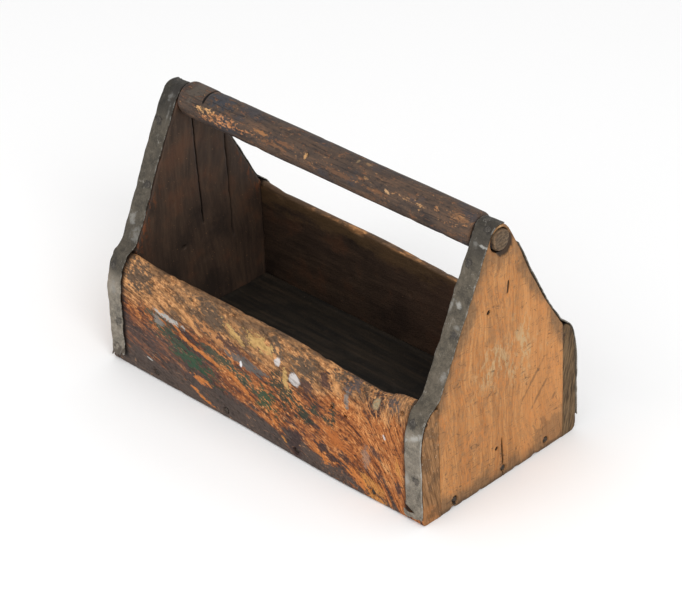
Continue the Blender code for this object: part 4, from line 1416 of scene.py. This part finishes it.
def strapFinish():
    f = Finish("dullStrapSteel")
    blotch = f.cloud(f.place, 60, 4, 0.6)
    mottle = f.cloud(f.place, 200, 5, 0.65)
    speck = f.cloud(f.place, 800, 3)
    colour = f.ramp(
        blotch * 0.4 + mottle * 0.4 + speck * 0.2,
        (0.36, tint(82, 76, 67)), (0.46, tint(112, 105, 93)),
        (0.54, tint(133, 124, 110)), (0.64, tint(164, 156, 143)),
    )
    rust = (blotch * 0.6 + speck * 0.4).step(0.54, 0.62)
    colour = f.blend(colour, tint(94, 78, 62), rust * 0.4)
    # painted shade: the straps darker from their round upwards, the left ones more than the right
    slope = (f.z + (mottle - 0.5) * 0.02).step(0.094, 0.108)
    shaded = f.blend(tint(154, 151, 145), tint(180, 176, 169), f.x.step(-0.1, 0.1))
    colour = f.blend(colour, f.blend(colour, shaded, 1.0, "MULTIPLY"), slope * 0.95)
    crown = (f.z + (mottle - 0.5) * 0.03).step(0.240, 0.256)
    colour = f.blend(colour, f.blend(colour, tint(190, 191, 194), 1.0, "MULTIPLY"), crown)
    # bright zinc and a painted highlight along the straps' worn edges
    zincAndGlint = f.bend.step(0.10, 0.34) * mottle.step(0.46, 0.60) * 0.6
    for middle, half, tilt, share in zincAndGlintMarks:
        place, size = ([part / 1000 for part in values] for values in (middle, half))
        spot = f.oval(place, size, (0, math.radians(tilt), 0), (mottle - 0.5) * 5, 0.7)
        zincAndGlint = zincAndGlint.most(spot * share)
    colour = f.blend(colour, tint(190, 188, 182), zincAndGlint * 0.75)
    for node in sorted(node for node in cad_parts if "_strap_nail_" in node):
        crown, _ = nailEnds(node)
        half = [nailLook["halo"]] * 3
        halo = f.oval(crown + beaten(crown), half, (0, 0, 0), (mottle - 0.5) * 3, 0.3)
        colour = f.blend(colour, tint(46, 42, 38), halo * 0.75)
    ragged = f.oval((-0.206, -0.108, 0.008), (0.02, 0.006, 0.010), (0, 0, 0), (mottle - 0.5) * 4, 0.4)
    colour = f.blend(colour, tint(70, 60, 52), ragged * 0.75)
    scratch = f.line(f.cloud(f.drawn(f.place, (60, 14, 30), (0.5, 0.3, 0.2)), 1.0, 2), 0.006)
    colour = f.blend(colour, tint(176, 172, 164), scratch * mottle.step(0.48, 0.6) * 0.4)
    # grime and painted shade in the straps' dents, fold and slit
    colour = f.blend(colour, tint(48, 43, 38), f.bend.step(-0.06, -0.2) * 0.7)
    metallic = 0.4 - rust * 0.2 + zincAndGlint * 0.3
    height = mottle * 0.6 + blotch + speck * 0.25
    return f.finish(colour, 0.6 - zincAndGlint * 0.14 + rust * 0.15 - mottle * 0.1, height, 0.0013, metallic, 0.5)


# The nails

nailLook = {
    "seed": 77,
    "sides": 14,
    "head": 0.0029,
    "bottomHead": 0.0025,
    "headReach": 0.004,  # the end with more points this near it is the head
    "crown": 0.0011,
    "dome": [(0, 1), (0.5, 0.95), (0.85, 0.75), (1, 0.4), (0.97, 0)],  # shares of the head and of the crown
    "shank": 0.00125,
    "point": 0.004,
    "neck": 0.0001,
    "sunk": 0.0004,
    "outOfRound": (0.10, 0.08),
    "slant": 0.04,
    "beaten": 0.00012,
    "halo": 0.0046,  # how far round a nail a strap is dark
}


def nailEnds(node):  # the middle of a nail's head, and its point
    spots = [vert.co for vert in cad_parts[node].data.vertices]
    tip = max(spots, key=lambda co: (co - spots[0]).length)
    crown = max(spots, key=lambda co: (co - tip).length)
    tip = max(spots, key=lambda co: (co - crown).length)
    atCrown, atTip = (sum((co - end).length < nailLook["headReach"] for co in spots) for end in (crown, tip))
    if atCrown < atTip:
        crown, tip = tip, crown
    return crown.copy(), tip.copy()


def nails(plain, inStraps):
    look = nailLook
    luck = random.Random(look["seed"])
    names = sorted(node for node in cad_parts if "_nail_" in node)
    shank, top, neck = look["shank"], look["crown"], look["neck"]
    wider, narrower = look["outOfRound"]
    for node in names:
        strapped = "_strap_" in node
        crown, tip = nailEnds(node)
        length = (crown - tip).length - top
        head = look["bottomHead" if "_bottom_" in node else "head"]
        profile = [(head * out, top * up) for out, up in look["dome"]]
        profile += [(shank, -neck), (shank, look["point"] - length), (0, -length)]
        bm = bmesh.new()
        edges = drawLine(bm, [(radius, 0, z) for radius, z in profile])
        bmesh.ops.subdivide_edges(bm, edges=edges[:2], cuts=1)
        spinRound(bm, (0, 0, 1), look["sides"])
        flat = Vector((luck.uniform(-1, 1), luck.uniform(-1, 1), 0))
        for vert in bm.verts:  # the head is hammered flat on one side and out of round
            if vert.co.z > -2 * neck:
                vert.co.x *= 1 + wider * flat.x
                vert.co.y *= 1 - narrower * flat.x
                dent = look["beaten"] * (1 + wobble(vert.co + flat, 0.0018))
                vert.co.z -= look["slant"] * abs(vert.co.dot(flat)) + dent
        if strapped:
            crown += beaten(crown)
        turn = (crown - tip).to_track_quat("Z", "Y").to_matrix().to_4x4()
        seat = crown - (crown - tip).normalized() * (top + (look["sunk"] if strapped else 0))
        bmesh.ops.transform(bm, matrix=Matrix.Translation(seat) @ turn, verts=bm.verts)
        markBends(bm)
        words = node.split("_")
        name = words[0] + "".join(word.title() for word in words[1:])
        finishPiece(name, bm, inStraps if strapped else plain, node)
    print(len(names), "nails driven")


def nailFinish(name, dark, middle, light, faceShare):  # faceShare is how bright those low on the straps are
    f = Finish(name)
    mottle = f.cloud(f.place, 700, 4, 0.6)
    speck = f.cloud(f.place, 2600, 3)
    colour = f.ramp(mottle, (0.38, dark), (0.5, middle), (0.64, light))
    low = f.z.step(0.108, 0.094) * f.z.step(0.020, 0.030)
    colour = f.blend(colour, tint(108, 101, 91), low * faceShare)
    colour = f.blend(colour, tint(92, 66, 48), speck.step(0.56, 0.68) * 0.4)
    colour = f.blend(colour, tint(128, 121, 112), f.bend.step(0.08, 0.26) * 0.3)
    # grime and painted shade in the hollows round the head
    colour = f.blend(colour, tint(24, 21, 18), f.bend.step(-0.05, -0.2) * 0.8)
    return f.finish(colour, 0.55 + speck * 0.2, mottle + speck * 0.4, 0.0005, 0.4, 0.5)


# Floor, light and camera

stageLook = {
    "floor": tint(252, 252, 252),
    "floorSize": 4.0,
    "floorDrop": 0.0004,
    "floorRough": 0.9,
    "sky": 0.83,
    "keyPlace": (1.9, -1.0, 1.9),
    "keyPower": 27,
    "keySize": 1.3,
    "fillPlace": (-0.6, -2.2, 1.5),
    "fillPower": 12,
    "fillSize": 1.8,
    "aim": (0.0, 0.0, 0.12),
}
cameraLook = {
    "place": (1.66037, -1.58770, 1.56687),
    "right": (0.71000, 0.70313, -0.03883),
    "up": (-0.35371, 0.40376, 0.84372),
    "lens": 148.6355,
    "sensor": 36.0,
    "clipStart": 0.05,
}


def addLight(name, place, size, power):
    light = bpy.data.lights.new(name, "AREA")
    light.shape = "DISK"
    light.size = size
    light.energy = power
    lamp = bpy.data.objects.new(name, light)
    lamp.location = place
    lamp.rotation_euler = (Vector(stageLook["aim"]) - Vector(place)).to_track_quat("-Z", "Y").to_euler()
    scene.collection.objects.link(lamp)


def setStage():
    look = stageLook
    bm = bmesh.new()
    bmesh.ops.create_grid(bm, x_segments=1, y_segments=1, size=look["floorSize"])
    bmesh.ops.translate(bm, vec=(0, 0, -look["floorDrop"]), verts=bm.verts)
    mesh = bpy.data.meshes.new("floor")
    bm.to_mesh(mesh)
    bm.free()
    paper = bpy.data.materials.new("palePaper")
    paper.use_nodes = True
    shader = paper.node_tree.nodes["Principled BSDF"]
    shader.inputs["Base Color"].default_value = look["floor"]
    shader.inputs["Roughness"].default_value = look["floorRough"]
    mesh.materials.append(paper)
    floor = bpy.data.objects.new("floor", mesh)
    scene.collection.objects.link(floor)
    world = bpy.data.worlds.new("studio")
    world.use_nodes = True
    sky = world.node_tree.nodes["Background"]
    sky.inputs["Color"].default_value = (1, 1, 1, 1)
    sky.inputs["Strength"].default_value = look["sky"]
    scene.world = world
    addLight("keyLight", look["keyPlace"], look["keySize"], look["keyPower"])
    addLight("fillLight", look["fillPlace"], look["fillSize"], look["fillPower"])
    scene.view_settings.view_transform = "Standard"


def setCamera():
    look = cameraLook
    right, up = Vector(look["right"]).normalized(), Vector(look["up"]).normalized()
    camera = bpy.data.cameras.new("photoView")
    camera.lens = look["lens"]
    camera.sensor_width = look["sensor"]
    camera.sensor_fit = "HORIZONTAL"
    camera.clip_start = look["clipStart"]
    holder = bpy.data.objects.new("photoView", camera)
    axes = Matrix((right, up, right.cross(up))).transposed()
    holder.matrix_world = Matrix.Translation(look["place"]) @ axes.to_4x4()
    scene.collection.objects.link(holder)
    scene.camera = holder


setStage()
setCamera()
sideBoard(frontLook, frontFinish())
sideBoard(backLook, backFinish())
for gable in (leftLook, rightLook):
    endBoard(gable, endFinish(gable))
bottomBoard(bottomFinish())
handleRod(handleFinish())
steel = strapFinish()
for facing in (-1, 1):
    for end in (-1, 1):
        strap(facing, end, steel)
print("straps laid")
iron = nailFinish("darkNailIron", tint(38, 32, 27), tint(56, 47, 39), tint(80, 69, 58), 0.0)
greyIron = nailFinish("strapNailIron", tint(48, 45, 41), tint(66, 62, 57), tint(90, 85, 78), 0.6)
nails(iron, greyIron)
